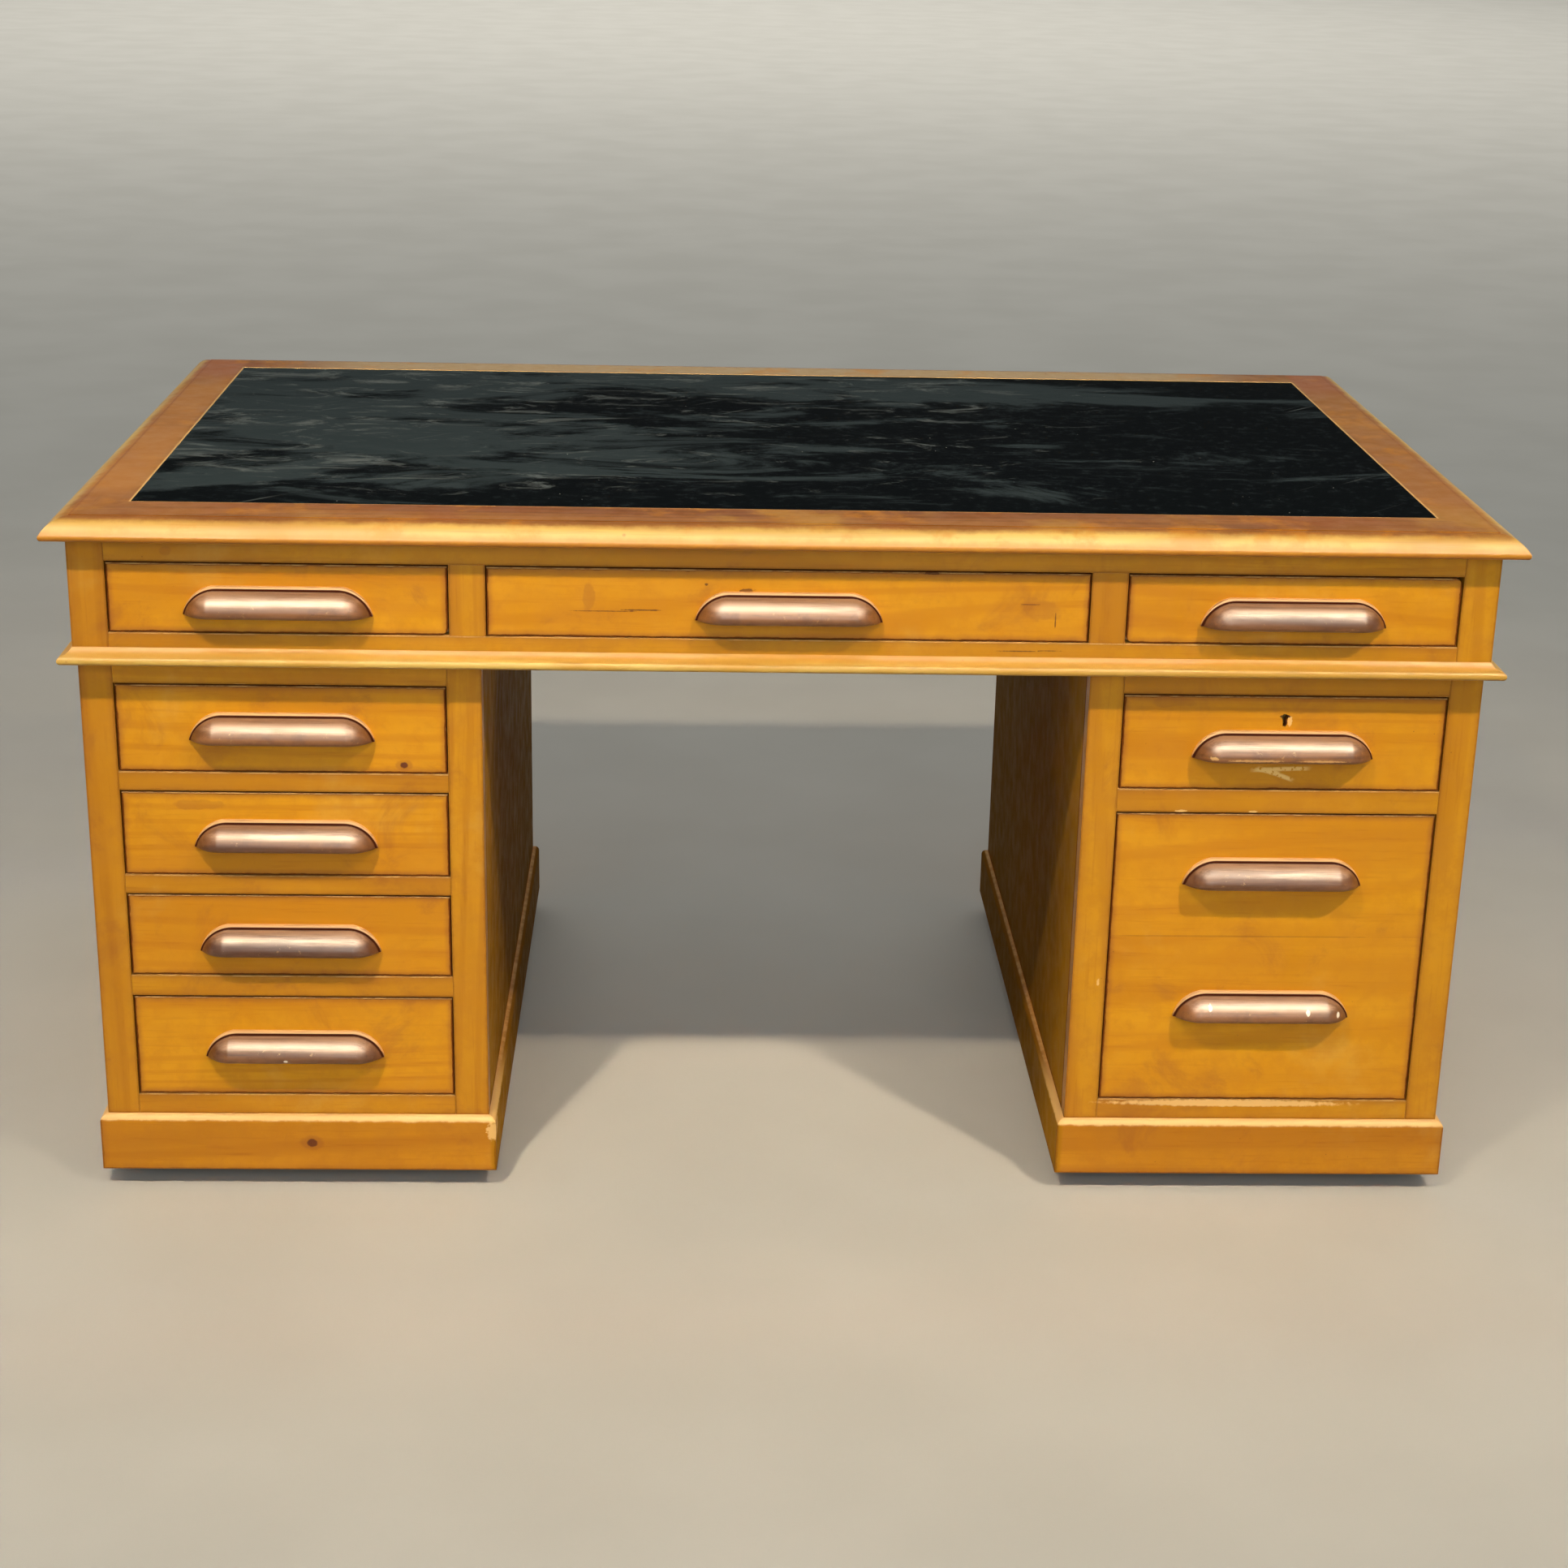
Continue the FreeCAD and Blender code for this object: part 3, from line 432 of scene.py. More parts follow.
def varnished(
    name, light=GOLD, dark=AMBER, marks=(), edge_dirt_shade_share=0.95, worn=None, shaded=None, lined=False,
):
    """Old varnished pine, soiled and painted with shade along the edges, worn pale along some of
    them, with a painted highlight along level upper edges.

    worn is the height above which use has bared the wood near the front, where it is also a painted
    highlight. shaded is the distance from the middle of the desk within which the wood is painted
    with shade and its varnish is duller. lined paints shade into the gaps round a drawer front and
    its keyhole.
    """
    look = Look(name)
    colour, place = wood_figure(look, light, dark)
    colour, patina = aged(look, colour, dark)
    index = INDEX
    if shaded:
        colour, index = in_shade(look, colour, patina, shaded)
    edge = edge_distance(look)
    uneven = look.noise(look.place(), 60.0, 4.0, 0.65)
    colour, dirt_and_shade = edge_dirt_and_shade(look, colour, edge, uneven, edge_dirt_shade_share)
    wear_and_highlight = bared_and_highlit_wood(look, edge, uneven, worn)
    colour = look.mix(wear_and_highlight, colour, PALE_WEAR_AND_HIGHLIGHT)
    specks = look.ramp(look.dots(look.place(), 55.0), 0.045, 0.02, 0.0, 0.6)
    specks = look.times(specks, look.ramp(look.noise(look.place(), 9.0), 0.55, 0.62))
    colour = look.mix(specks, colour, GRIME_AND_SHADE)
    colour = with_marks(look, colour, marks)
    if lined:
        # Painted shade on the faces that line the gaps round the drawer front and its keyhole.
        gap_shade = painted_gap_shade(look)
        colour = look.mix(look.times(gap_shade, 0.8), colour, DIRT_AND_SHADE_BROWN)
        dirt_and_shade = look.most(dirt_and_shade, gap_shade)
    rough = look.ramp(look.noise(look.place(), 35.0, 4.0, 0.6), 0.3, 0.75, 0.30, 0.50)
    rough = look.plus(rough, look.times(wear_and_highlight, 0.2))
    skin = look.bump(look.noise(look.place(), 900.0, 2.0), 0.08, 0.3 * MM)
    pores = look.bump(look.noise(place, 700.0, 3.0, 0.7), 0.15, 0.3 * MM, skin)
    swell = look.bump(look.noise(look.place(), 26.0, 2.0), 0.18, 1.0 * MM, pores)
    return look.finish({"IOR": INDEX, "Specular IOR Level": GLOSS}, **{
        "Base Color": colour, "Roughness": rough, "Normal": swell, "IOR": index,
        "Specular IOR Level": look.ramp(dirt_and_shade, 0.0, 1.0, GLOSS, 0.05),
    })


def moulded(name):
    """The waist moulding: pale on its nose, browner in the cove and chipped along its foot."""
    look = Look(name)
    colour, _ = wood_figure(look, HONEY, HONEY_DARK)
    low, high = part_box("waist_moulding")
    z = look.parts(look.place())[2]
    uneven = look.times(look.noise(look.place(), 55.0, 4.0, 0.65), 4 * MM)
    cove = look.ramp(look.plus(z, uneven), high.z - 7 * MM, high.z - 1 * MM, 0.0, 0.8)
    colour = look.mix(cove, colour, AMBER)
    foot = look.ramp(look.minus(z, uneven), low.z + 1.5 * MM, low.z - 2 * MM, 0.0, 0.8)
    colour = look.mix(foot, colour, RED_BROWN)
    patina = look.noise(look.place(), 11.0, 4.0, 0.6)
    colour = look.mix(look.ramp(patina, 0.36, 0.64, 0.1, 0.9), colour, HONEY_DARK)
    dents = look.ramp(look.dots(look.place(), 46.0), 0.09, 0.04, 0.0, 0.7)
    dents = look.times(dents, look.ramp(look.noise(look.place(), 14.0), 0.54, 0.62))
    colour = look.mix(dents, colour, RED_BROWN)
    swell = look.bump(look.noise(look.place(), 40.0, 3.0), 0.2, 0.8 * MM)
    return look.finish(**{
        "Base Color": colour, "Roughness": 0.40, "Normal": swell, "Specular IOR Level": 0.25,
    })


def desktop_wood():
    """The border of the top: dark varnish in front, golden sides, red corners and a painted sheen
    at the back.

    The moulded edge is honey, partly worn and partly painted highlight. A dark line runs along the
    quirk, and the edge darkens towards its foot, partly soiling and partly painted shade.
    """
    look = Look("desktop_border")
    figure, place = wood_figure(look, BORDER_LIGHT, BORDER_DARK, 0.25, 0.25)
    gold, _ = wood_figure(look, HONEY, HONEY_DARK, 0.25, 0.2)
    x, y, z = look.parts(look.place())
    patina = look.noise(look.place(), 7.0, 4.0, 0.6)
    flat = look.mix(look.ramp(patina, 0.50, 0.66, 0.0, 0.55), figure, RED_BROWN)
    flat = look.mix(look.ramp(patina, 0.46, 0.34, 0.0, 0.45), flat, HONEY_DARK)
    low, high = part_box("desktop_frame")
    field_low, field_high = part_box("writing_leather")
    wide = look.absolute(x)
    side = look.ramp(wide, field_high.x - 2 * MM, field_high.x + 8 * MM)
    golden = look.mix(look.ramp(patina, 0.42, 0.62, 0.2, 0.8), SIDE_GOLD, BORDER_LIGHT)
    golden = look.mix(look.ramp(x, 0.0, 0.5, 0.0, 0.6), golden, BORDER_LIGHT)
    flat = look.mix(look.times(side, look.ramp(y, -0.40, -0.28, 0.0, 0.85)), flat, golden)
    # Painted sheen on the back border, standing in for the varnish reflecting at a grazing angle.
    back = look.ramp(y, field_high.y - 2 * MM, field_high.y + 6 * MM)
    pale = look.ramp(wide, field_high.x, field_high.x - 0.18, 0.0, 0.85)
    flat = look.mix(look.times(back, pale), flat, PAINTED_BACK_SHEEN)
    corner = look.times(side, look.ramp(y, 0.26, 0.36, 0.0, 0.85))
    flat = look.mix(corner, flat, CORNER_RED)
    out_x = look.minus(high.x, wide)
    out_y = look.minus(high.y, look.absolute(y))
    out = look.least(out_x, out_y)
    fine = look.noise(look.place(), 45.0, 4.0, 0.65)
    ragged = look.times(fine, 12 * MM)
    # Honey on the moulded edge: partly worn varnish, partly painted highlight.
    moulding = look.ramp(look.plus(out, ragged), 30 * MM, 18 * MM)
    colour = look.mix(moulding, flat, gold)
    worn = look.noise(look.place(), 16.0, 5.0, 0.65)
    colour = look.mix(look.ramp(worn, 0.52, 0.66, 0.0, 0.5), colour, AMBER)
    # The moulded edge darkens towards its foot: partly soiling, partly painted shade.
    rise = look.minus(z, look.times(fine, 5 * MM))
    colour = look.mix(look.ramp(rise, low.z + 11 * MM, low.z + 4 * MM, 0.0, 0.9), colour, AMBER)
    colour = look.mix(look.ramp(rise, low.z + 4 * MM, low.z - 1 * MM, 0.0, 0.6), colour, RED_BROWN)
    quirk = look.absolute(look.minus(out, 27.0 * MM))
    colour = look.mix(look.ramp(quirk, 2.2 * MM, 0.6 * MM, 0.0, 0.55), colour, RED_BROWN)
    dents = look.ramp(look.dots(look.place(), 38.0), 0.10, 0.04, 0.0, 0.65)
    dents = look.times(dents, look.ramp(look.noise(look.place(), 12.0), 0.52, 0.62))
    colour = look.mix(dents, colour, RED_BROWN)
    inner_x = look.minus(field_high.x, wide)
    front_y = look.minus(y, field_low.y)
    rear_y = look.minus(field_high.y, y)
    inside = look.least(inner_x, look.least(front_y, rear_y))
    arris = look.ramp(inside, -2.6 * MM, -0.8 * MM, 0.0, 0.75)
    colour = look.mix(arris, colour, PALE_WEAR_AND_HIGHLIGHT)
    rough = look.ramp(look.noise(look.place(), 30.0, 4.0, 0.6), 0.3, 0.75, 0.30, 0.50)
    index = look.plus(BORDER_INDEX, look.times(moulding, 0.13))
    skin = look.bump(look.noise(place, 600.0, 3.0, 0.7), 0.18, 0.3 * MM)
    swell = look.bump(look.noise(look.place(), 24.0, 3.0), 0.22, 1.2 * MM, skin)
    return look.finish({"IOR": 1.22}, **{
        "Base Color": colour, "Roughness": rough, "Normal": swell, "IOR": index,
    })


def raw_pine():
    """Unvarnished wood inside: drawer boxes, runners and the backs of boards."""
    look = Look("inner_pine")
    colour, place = wood_figure(look, PINE_RAW, PINE_RAW_DARK, 0.35, 0.25)
    dust = look.noise(look.place(), 10.0, 5.0, 0.65)
    colour = look.mix(look.ramp(dust, 0.45, 0.75, 0.0, 0.45), colour, PINE_RAW_DARK)
    rub = look.ramp(edge_distance(look), 3.0 * MM, 0.5 * MM, 0.0, 0.4)
    colour = look.mix(rub, colour, PINE_RAW_DARK)
    rough = look.ramp(dust, 0.3, 0.7, 0.62, 0.82)
    saw = look.bump(look.noise(place, 420.0, 3.0, 0.7), 0.4, 0.4 * MM)
    return look.finish(**{"Base Color": colour, "Roughness": rough, "Normal": saw})


def from_hood(look):
    """Distance outward from the outline that the hood of a pull draws on its flange."""
    low, high = look.board("low").outputs["Vector"], look.board("high").outputs["Vector"]
    size = look.parts(look.vector("SUBTRACT", high, low))
    middle = look.parts(look.scaled(look.vector("ADD", low, high), 0.5))
    x, _, z = look.parts(look.place())
    tall = PULL_HIGH - RIM
    side = (PULL_END * END_LONG, tall * END_HIGH)
    in_x, in_z, radius = circle_through((0, 0), side, (PULL_END, tall))
    half = look.times(size[0], 0.5)
    aside = look.absolute(look.minus(x, middle[0]))
    aside = look.plus(look.minus(aside, half), RIM_END + in_x)
    aside = look.most(aside, 0.0)
    rise = look.minus(look.minus(z, look.parts(low)[2]), in_z)
    squares = look.plus(look.times(aside, aside), look.times(rise, rise))
    return look.minus(look.math("SQRT", squares), radius)


def mahogany(name, marks=()):
    """Satin brown pulls with dark pores, a dark crease inside a golden rim, and small scuffs.

    The rim and a pale band on the upper hood are partly worn and partly painted highlight, and
    painted shade darkens the hood near its outline and along its bottom edge.
    """
    look = Look(name)
    colour, place = wood_figure(look, PULL_BROWN, PULL_DARK, 0.3, 0.35)
    pores = look.ramp(look.noise(place, 520.0, 2.0, 0.7), 0.60, 0.72, 0.0, 0.5)
    colour = look.mix(pores, colour, PULL_DARK)
    blotch = look.ramp(look.noise(look.place(), 34.0, 4.0, 0.6), 0.46, 0.66, 0.0, 0.55)
    colour = look.mix(blotch, colour, PULL_DARK)
    scuff = look.ramp(look.noise(look.place(), 130.0, 5.0, 0.7), 0.62, 0.72, 0.0, 0.3)
    colour = look.mix(scuff, colour, PALE_WEAR_AND_HIGHLIGHT)
    back = look.parts(look.board("high").outputs["Vector"])[1]
    out = look.minus(back, look.parts(look.place())[1])
    foot = look.parts(look.board("low").outputs["Vector"])[2]
    rise = look.minus(look.parts(look.place())[2], foot)
    on_hood = look.ramp(out, FLANGE + 0.1 * MM, FLANGE + 0.6 * MM)
    # Pale band on the upper hood: partly worn, partly a painted highlight.
    rubbed = look.ramp(rise, 13 * MM, 20 * MM)
    rubbed = look.times(rubbed, look.ramp(out, FLANGE + 1.5 * MM, FLANGE + 5 * MM))
    streaks = look.ramp(look.noise(place, 70.0, 7.0, 0.75), 0.38, 0.58, 0.32, 1.0)
    colour = look.mix(look.times(rubbed, streaks), colour, PULL_WORN_AND_HIGHLIGHT)
    # Painted shade along the bottom edge of the hood.
    under = look.times(on_hood, look.ramp(rise, 6 * MM, 1 * MM, 0.0, 0.7))
    colour = look.mix(under, colour, KNOT_AND_SHADE_BROWN)
    # Golden rim on the flange: partly worn, partly a painted highlight on its edge.
    beside = from_hood(look)
    colour = look.mix(look.ramp(beside, 0.8 * MM, 1.6 * MM, 0.0, 0.9), colour, PULL_RIM_WEAR_AND_HIGHLIGHT)
    # Painted shade on the hood near its outline and at its ends.
    painted_brim_shade = look.times(on_hood, look.ramp(beside, -8 * MM, -1 * MM, 0.0, 0.55))
    colour = look.mix(painted_brim_shade, colour, PULL_DARK)
    # A dark line in the crease between hood and flange, with less gloss there.
    crease = look.absolute(look.minus(beside, 0.3 * MM))
    shallow = look.ramp(out, FLANGE + 5 * MM, FLANGE + 1 * MM)
    crease = look.times(look.ramp(crease, 1.6 * MM, 0.8 * MM), shallow)
    colour = look.mix(crease, colour, GRIME_AND_SHADE)
    colour = with_marks(look, colour, marks)
    off_crease = look.minus(1.0, crease)
    rough = look.ramp(look.noise(look.place(), 70.0, 4.0, 0.6), 0.35, 0.75, 0.40, 0.56)
    skin = look.bump(look.noise(place, 500.0, 3.0, 0.7), 0.12, 0.25 * MM)
    swell = look.bump(look.noise(look.place(), 60.0, 3.0), 0.25, 0.9 * MM, skin)
    return look.finish({"Coat Roughness": 0.47, "Specular IOR Level": 0.5}, **{
        "Base Color": colour, "Roughness": rough, "Normal": swell,
        "Specular IOR Level": look.times(off_crease, 0.5),
        "Coat Weight": look.times(off_crease, streaks), "Coat Roughness": rough,
        "Coat Tint": COAT_TINT,
    })


def leather():
    """Black skiver, scuffed grey in clouds that run along the desk, with tiny pale specks."""
    look = Look("black_leather")
    x, y, z = look.parts(look.place())
    stretch = look.add("CombineXYZ", {0: look.times(x, 0.40), 1: y, 2: z}).outputs[0]
    clouds = look.noise(stretch, 8.0, 9.0, 0.70, 0.7)
    left = look.ramp(x, 0.05, -0.50, 0.0, 0.075)
    back = look.ramp(y, 0.08, 0.30, 0.0, 0.10)
    back = look.times(back, look.ramp(x, 0.62, 0.25))
    front = look.ramp(y, -0.36, -0.26, -0.12, 0.0)
    right = look.ramp(x, 0.15, 0.55, 0.0, -0.09)
    worn = look.plus(look.most(left, back), look.plus(front, right))
    amount = look.plus(clouds, worn)
    colour = look.mix(look.ramp(amount, 0.48, 0.59), LEATHER_BLACK, LEATHER_GREY)
    rubbed = look.noise(stretch, 24.0, 9.0, 0.75, 1.2)
    rubbed = look.plus(rubbed, look.times(worn, 0.7))
    colour = look.mix(look.ramp(rubbed, 0.56, 0.72, 0.0, 0.85), colour, LEATHER_PALE)
    grainy = look.noise(look.place(), 75.0, 6.0, 0.75)
    colour = look.mix(look.ramp(grainy, 0.52, 0.70, 0.0, 0.4), colour, LEATHER_GREY)
    slant = look.add("CombineXYZ", {
        0: look.times(look.plus(x, y), 3.0),
        1: look.times(look.minus(x, y), 70.0),
    }).outputs[0]
    strokes = look.ramp(look.noise(slant, 1.0, 2.0), 0.66, 0.76)
    patches = look.ramp(look.noise(look.place(), 5.0, 2.0), 0.50, 0.62, 0.0, 0.7)
    strokes = look.times(strokes, patches)
    colour = look.mix(strokes, colour, LEATHER_PALE)
    flecks = look.ramp(look.dots(look.place(), 60.0), 0.05, 0.02, 0.0, 0.9)
    flecks = look.times(flecks, look.ramp(look.noise(look.place(), 7.0, 3.0), 0.56, 0.64))
    colour = look.mix(flecks, colour, PAINT_WHITE)
    rough = look.ramp(amount, 0.45, 0.75, 0.42, 0.60)
    pebble = look.bump(look.dots(look.place(), 900.0), 0.25, 0.25 * MM)
    crease = look.bump(look.noise(stretch, 22.0, 6.0, 0.7, 0.8), 0.22, 0.9 * MM, pebble)
    return look.finish(**{"Base Color": colour, "Roughness": rough, "Normal": crease, "IOR": 1.03})


def metal(name, colour, dark, rough, metallic):
    """Brass, iron or wheel: two tones in patches, with small pits."""
    look = Look(name)
    patches = look.noise(look.place(), 90.0, 5.0, 0.65)
    shade = look.mix(look.ramp(patches, 0.4, 0.7), colour, dark)
    roughness = look.ramp(patches, 0.35, 0.75, rough, min(rough + 0.3, 1.0))
    pits = look.bump(look.noise(look.place(), 900.0, 3.0), 0.3, 0.2 * MM)
    return look.finish(**{
        "Base Color": shade, "Roughness": roughness, "Metallic": metallic, "Normal": pits,
    })


# Boards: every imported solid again, with softened edges and its own run of grain


def closed_solids(mesh):
    """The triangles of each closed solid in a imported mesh, in the order they are stored."""
    grid = 1e-5
    corner = {}
    ids = []
    for vertex in mesh.vertices:
        key = tuple(round(c / grid) for c in vertex.co)
        ids.append(corner.setdefault(key, len(corner)))
    solids, faces, open_edges = [], [], set()
    for face in mesh.polygons:
        faces.append(face.index)
        ring = [ids[v] for v in face.vertices]
        for a, b in zip(ring, ring[1:] + ring[:1]):
            if (b, a) in open_edges:
                open_edges.remove((b, a))
            elif a != b:
                open_edges.add((a, b))
        if not open_edges:
            solids.append(faces)
            faces = []
    if faces:
        solids.append(faces)
    return solids


def softened(mesh, faces, width):
    """One solid as a bmesh, its flat faces joined up and its outer edges rounded."""
    work = bmesh.new()
    for index in faces:
        work.faces.new([work.verts.new(mesh.vertices[v].co) for v in mesh.polygons[index].vertices])
    bmesh.ops.remove_doubles(work, verts=work.verts, dist=0.01 * MM)
    bmesh.ops.dissolve_limit(
        work, angle_limit=SAME_PLANE, verts=work.verts, edges=work.edges, delimit=set(),
    )
    convex = [e for e in work.edges if e.is_manifold and e.is_convex]
    sharp = [e for e in convex if e.calc_face_angle() > SHARP_EDGE]
    if width and sharp:
        bmesh.ops.bevel(
            work, geom=sharp, offset=width, offset_type="OFFSET", segments=2, profile=0.5,
            affect="EDGES", clamp_overlap=True, harden_normals=False,
        )
    return work


def arc(a, b, c, count):
    """Points from a to c on the circle through a, b and c."""
    x, y, radius = circle_through(a, b, c)
    first = math.atan2(a[1] - y, a[0] - x)
    turn = (math.atan2(c[1] - y, c[0] - x) - first + math.pi) % (2 * math.pi) - math.pi
    angles = [first + turn * i / count for i in range(count + 1)]
    return [(x + radius * math.cos(t), y + radius * math.sin(t)) for t in angles]


def bridge(work, rings):
    """Faces between closed rings of points, and a cap on the first and the last."""
    rows = [[work.verts.new(point) for point in ring] for ring in rings]
    for row, following in zip(rows, rows[1:]):
        for i in range(len(row)):
            j = (i + 1) % len(row)
            work.faces.new((row[i], row[j], following[j], following[i]))
    work.faces.new(rows[0])
    work.faces.new(rows[-1])


def flange_rings(middle, back, foot, half, high):
    """Outlines of the flange of a pull from its back to its eased front."""
    side = (PULL_END * END_LONG - half, high * END_HIGH)
    rise = arc((-half, 0), side, (PULL_END - half, high), 10)
    outline = rise + [(-x, z) for x, z in reversed(rise)]
    eased = 1.2 * MM
    rings = []
    for out, inset in ((0, 0), (FLANGE - eased, 0), (FLANGE - 0.4 * MM, 0.4 * MM), (FLANGE, eased)):
        long, tall = 1 - inset / half, 1 - inset / high
        rings.append([(middle + x * long, back - out, foot + z * tall) for x, z in outline])
    return rings


def hood_rings(middle, face, foot, half, deep, high):
    """Sections of the hood of a pull from end to end: bold round, small lip and finger hollow."""
    brow = (deep, high * 0.35)
    skin = arc((0, high), (deep * 0.67, high * 0.81), brow, 12)
    skin += arc(brow, (deep - HOOD_LIP * 0.25, high * 0.12), (deep - HOOD_LIP, 0), 5)[1:]
    bend = (HOLLOW_DEEP * 0.72, HOLLOW_HIGH * 0.72)
    hollow = arc((HOLLOW_DEEP, 0), bend, (0, HOLLOW_HIGH), HOLLOW_STEPS)
    flat = [(out * HOLLOW_DEEP / HOLLOW_STEPS, 0) for out in range(HOLLOW_STEPS, -1, -1)]
    rise = arc((0, 0), (PULL_END * END_LONG, high * END_HIGH), (PULL_END, high), 14)
    stations = []
    for t, up in rise[1:]:
        out = 1 - (1 - min(t / PULL_END, 1)) ** HOOD_EASE
        stations.append((t, out, up / high, flat if t < HOLLOW_END else hollow))
    first = next(i for i, station in enumerate(stations) if station[3] is hollow)
    t, out, up, _ = stations[first]
    stations[first:first] = [(HOLLOW_END, out, up, flat), (HOLLOW_END, out, up, hollow)]
    rings = []
    for side in (-1, 1):
        for t, out, up, under in stations[::-side]:
            x = middle + side * (half - t)
            rings.append([(x, face - y * out, foot + z * up) for y, z in skin + under])
    return rings


def pull_shape(low, high):
    """A pull that fills the box from low to high, as one bmesh."""
    middle = (low.x + high.x) / 2
    half = (high.x - low.x) / 2
    tall = high.z - low.z
    work = bmesh.new()
    bridge(work, flange_rings(middle, high.y, low.z, half, tall))
    face = high.y - FLANGE
    bridge(work, hood_rings(middle, face, low.z, half - RIM_END, face - low.y, tall - RIM))
    bmesh.ops.remove_doubles(work, verts=work.verts, dist=0.001 * MM)
    bmesh.ops.recalc_face_normals(work, faces=work.faces)
    return work


def corners_of(points):
    """The least and the greatest corner of a set of points."""
    points = list(points)
    low = Vector([min(p[i] for p in points) for i in range(3)])
    high = Vector([max(p[i] for p in points) for i in range(3)])
    return low, high


def long_axis(low, high):
    """The axis along which a box is longest."""
    size = high - low
    return max(range(3), key=lambda i: size[i])


def assemble(node, works, material, grain=None, whole=False):
    """The pieces of a node as one object. Every face carries its board's corners, grain and seed.

    grain gives the axis of a board's grain from its corners, and without it the grain runs along
    the longest side. With whole, the boards share the node's corners.
    """
    joined = bmesh.new()
    lows, highs, grains, seeds = [], [], [], []
    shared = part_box(node)
    for number, work in enumerate(works):
        low, high = corners_of(v.co for v in work.verts)
        axis = long_axis(low, high) if grain is None else grain(low, high)
        phase = low.dot((31, 17, 57)) + number + len(node)
        seed = Vector([math.sin(k * phase) for k in (1.0, 2.3, 3.7)])
        part = bpy.data.meshes.new("part")
        work.to_mesh(part)
        work.free()
        before = len(joined.faces)
        joined.from_mesh(part)
        bpy.data.meshes.remove(part)
        added = len(joined.faces) - before
        lows += [shared[0] if whole else low] * added
        highs += [shared[1] if whole else high] * added
        grains += [Vector([float(i == axis) for i in range(3)])] * added
        seeds += [seed] * added
    mesh = bpy.data.meshes.new(node + "_looks")
    joined.to_mesh(mesh)
    joined.free()
    for name, values in (("low", lows), ("high", highs), ("grain", grains), ("seed", seeds)):
        layer = mesh.attributes.new(name, "FLOAT_VECTOR", "FACE")
        layer.data.foreach_set("vector", [c for value in values for c in value])
    mesh.polygons.foreach_set("use_smooth", [True] * len(mesh.polygons))
    mesh.set_sharp_from_angle(angle=SMOOTH_SHADING)
    mesh.materials.append(material)
    piece = bpy.data.objects.new(node + "_looks", mesh)
    bpy.context.scene.collection.objects.link(piece)
    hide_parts(node)
    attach(piece, frame["nodes"][node]["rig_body"])
    return piece


def dress(node, material, width=0.0, grain=None, whole=False):
    """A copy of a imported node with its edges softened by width."""
    source = frame["nodes"][node].data
    works = [softened(source, faces, width) for faces in closed_solids(source)]
    piece = assemble(node, works, material, grain, whole)
    if width:
        weigh = piece.modifiers.new("weigh", "WEIGHTED_NORMAL")
        weigh.keep_sharp = True


def dress_pulls(node, material):
    """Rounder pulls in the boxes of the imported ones."""
    source = frame["nodes"][node].data
    works = []
    for faces in closed_solids(source):
        used = [v for index in faces for v in source.polygons[index].vertices]
        works.append(pull_shape(*corners_of(source.vertices[v].co for v in used)))
    assemble(node, works, material)


def upright(low, high):
    """Boards of the pedestal cases: sides and back stand, top and bottom lie."""
    return 2 if high.z - low.z > 0.1 else 0


def level(low, high):
    """The grain of drawer fronts lies level, also where a board is short."""
    return 0


# Kinds of mark: colour, strength, raggedness of the edge, and how fine the rags are
MARK_KINDS = {
    "pale": (PALE_WEAR_AND_HIGHLIGHT, 0.75, 0.9, 260.0),
    "rub": (PALE_WEAR_AND_HIGHLIGHT, 0.8, 0.4, 200.0),
    "paint": (PAINT_WHITE, 1.0, 0.3, 400.0),
    "stain": (RED_BROWN, 0.28, 0.8, 60.0),
    "dark": (GRIME_AND_SHADE, 0.75, 0.7, 300.0),
    # hole paints the shade of a keyhole opening.
    "hole": (GRIME_AND_SHADE, 1.0, 0.3, 300.0),
    "seam": (DIRT_AND_SHADE_BROWN, 0.30, 0.5, 80.0),
}

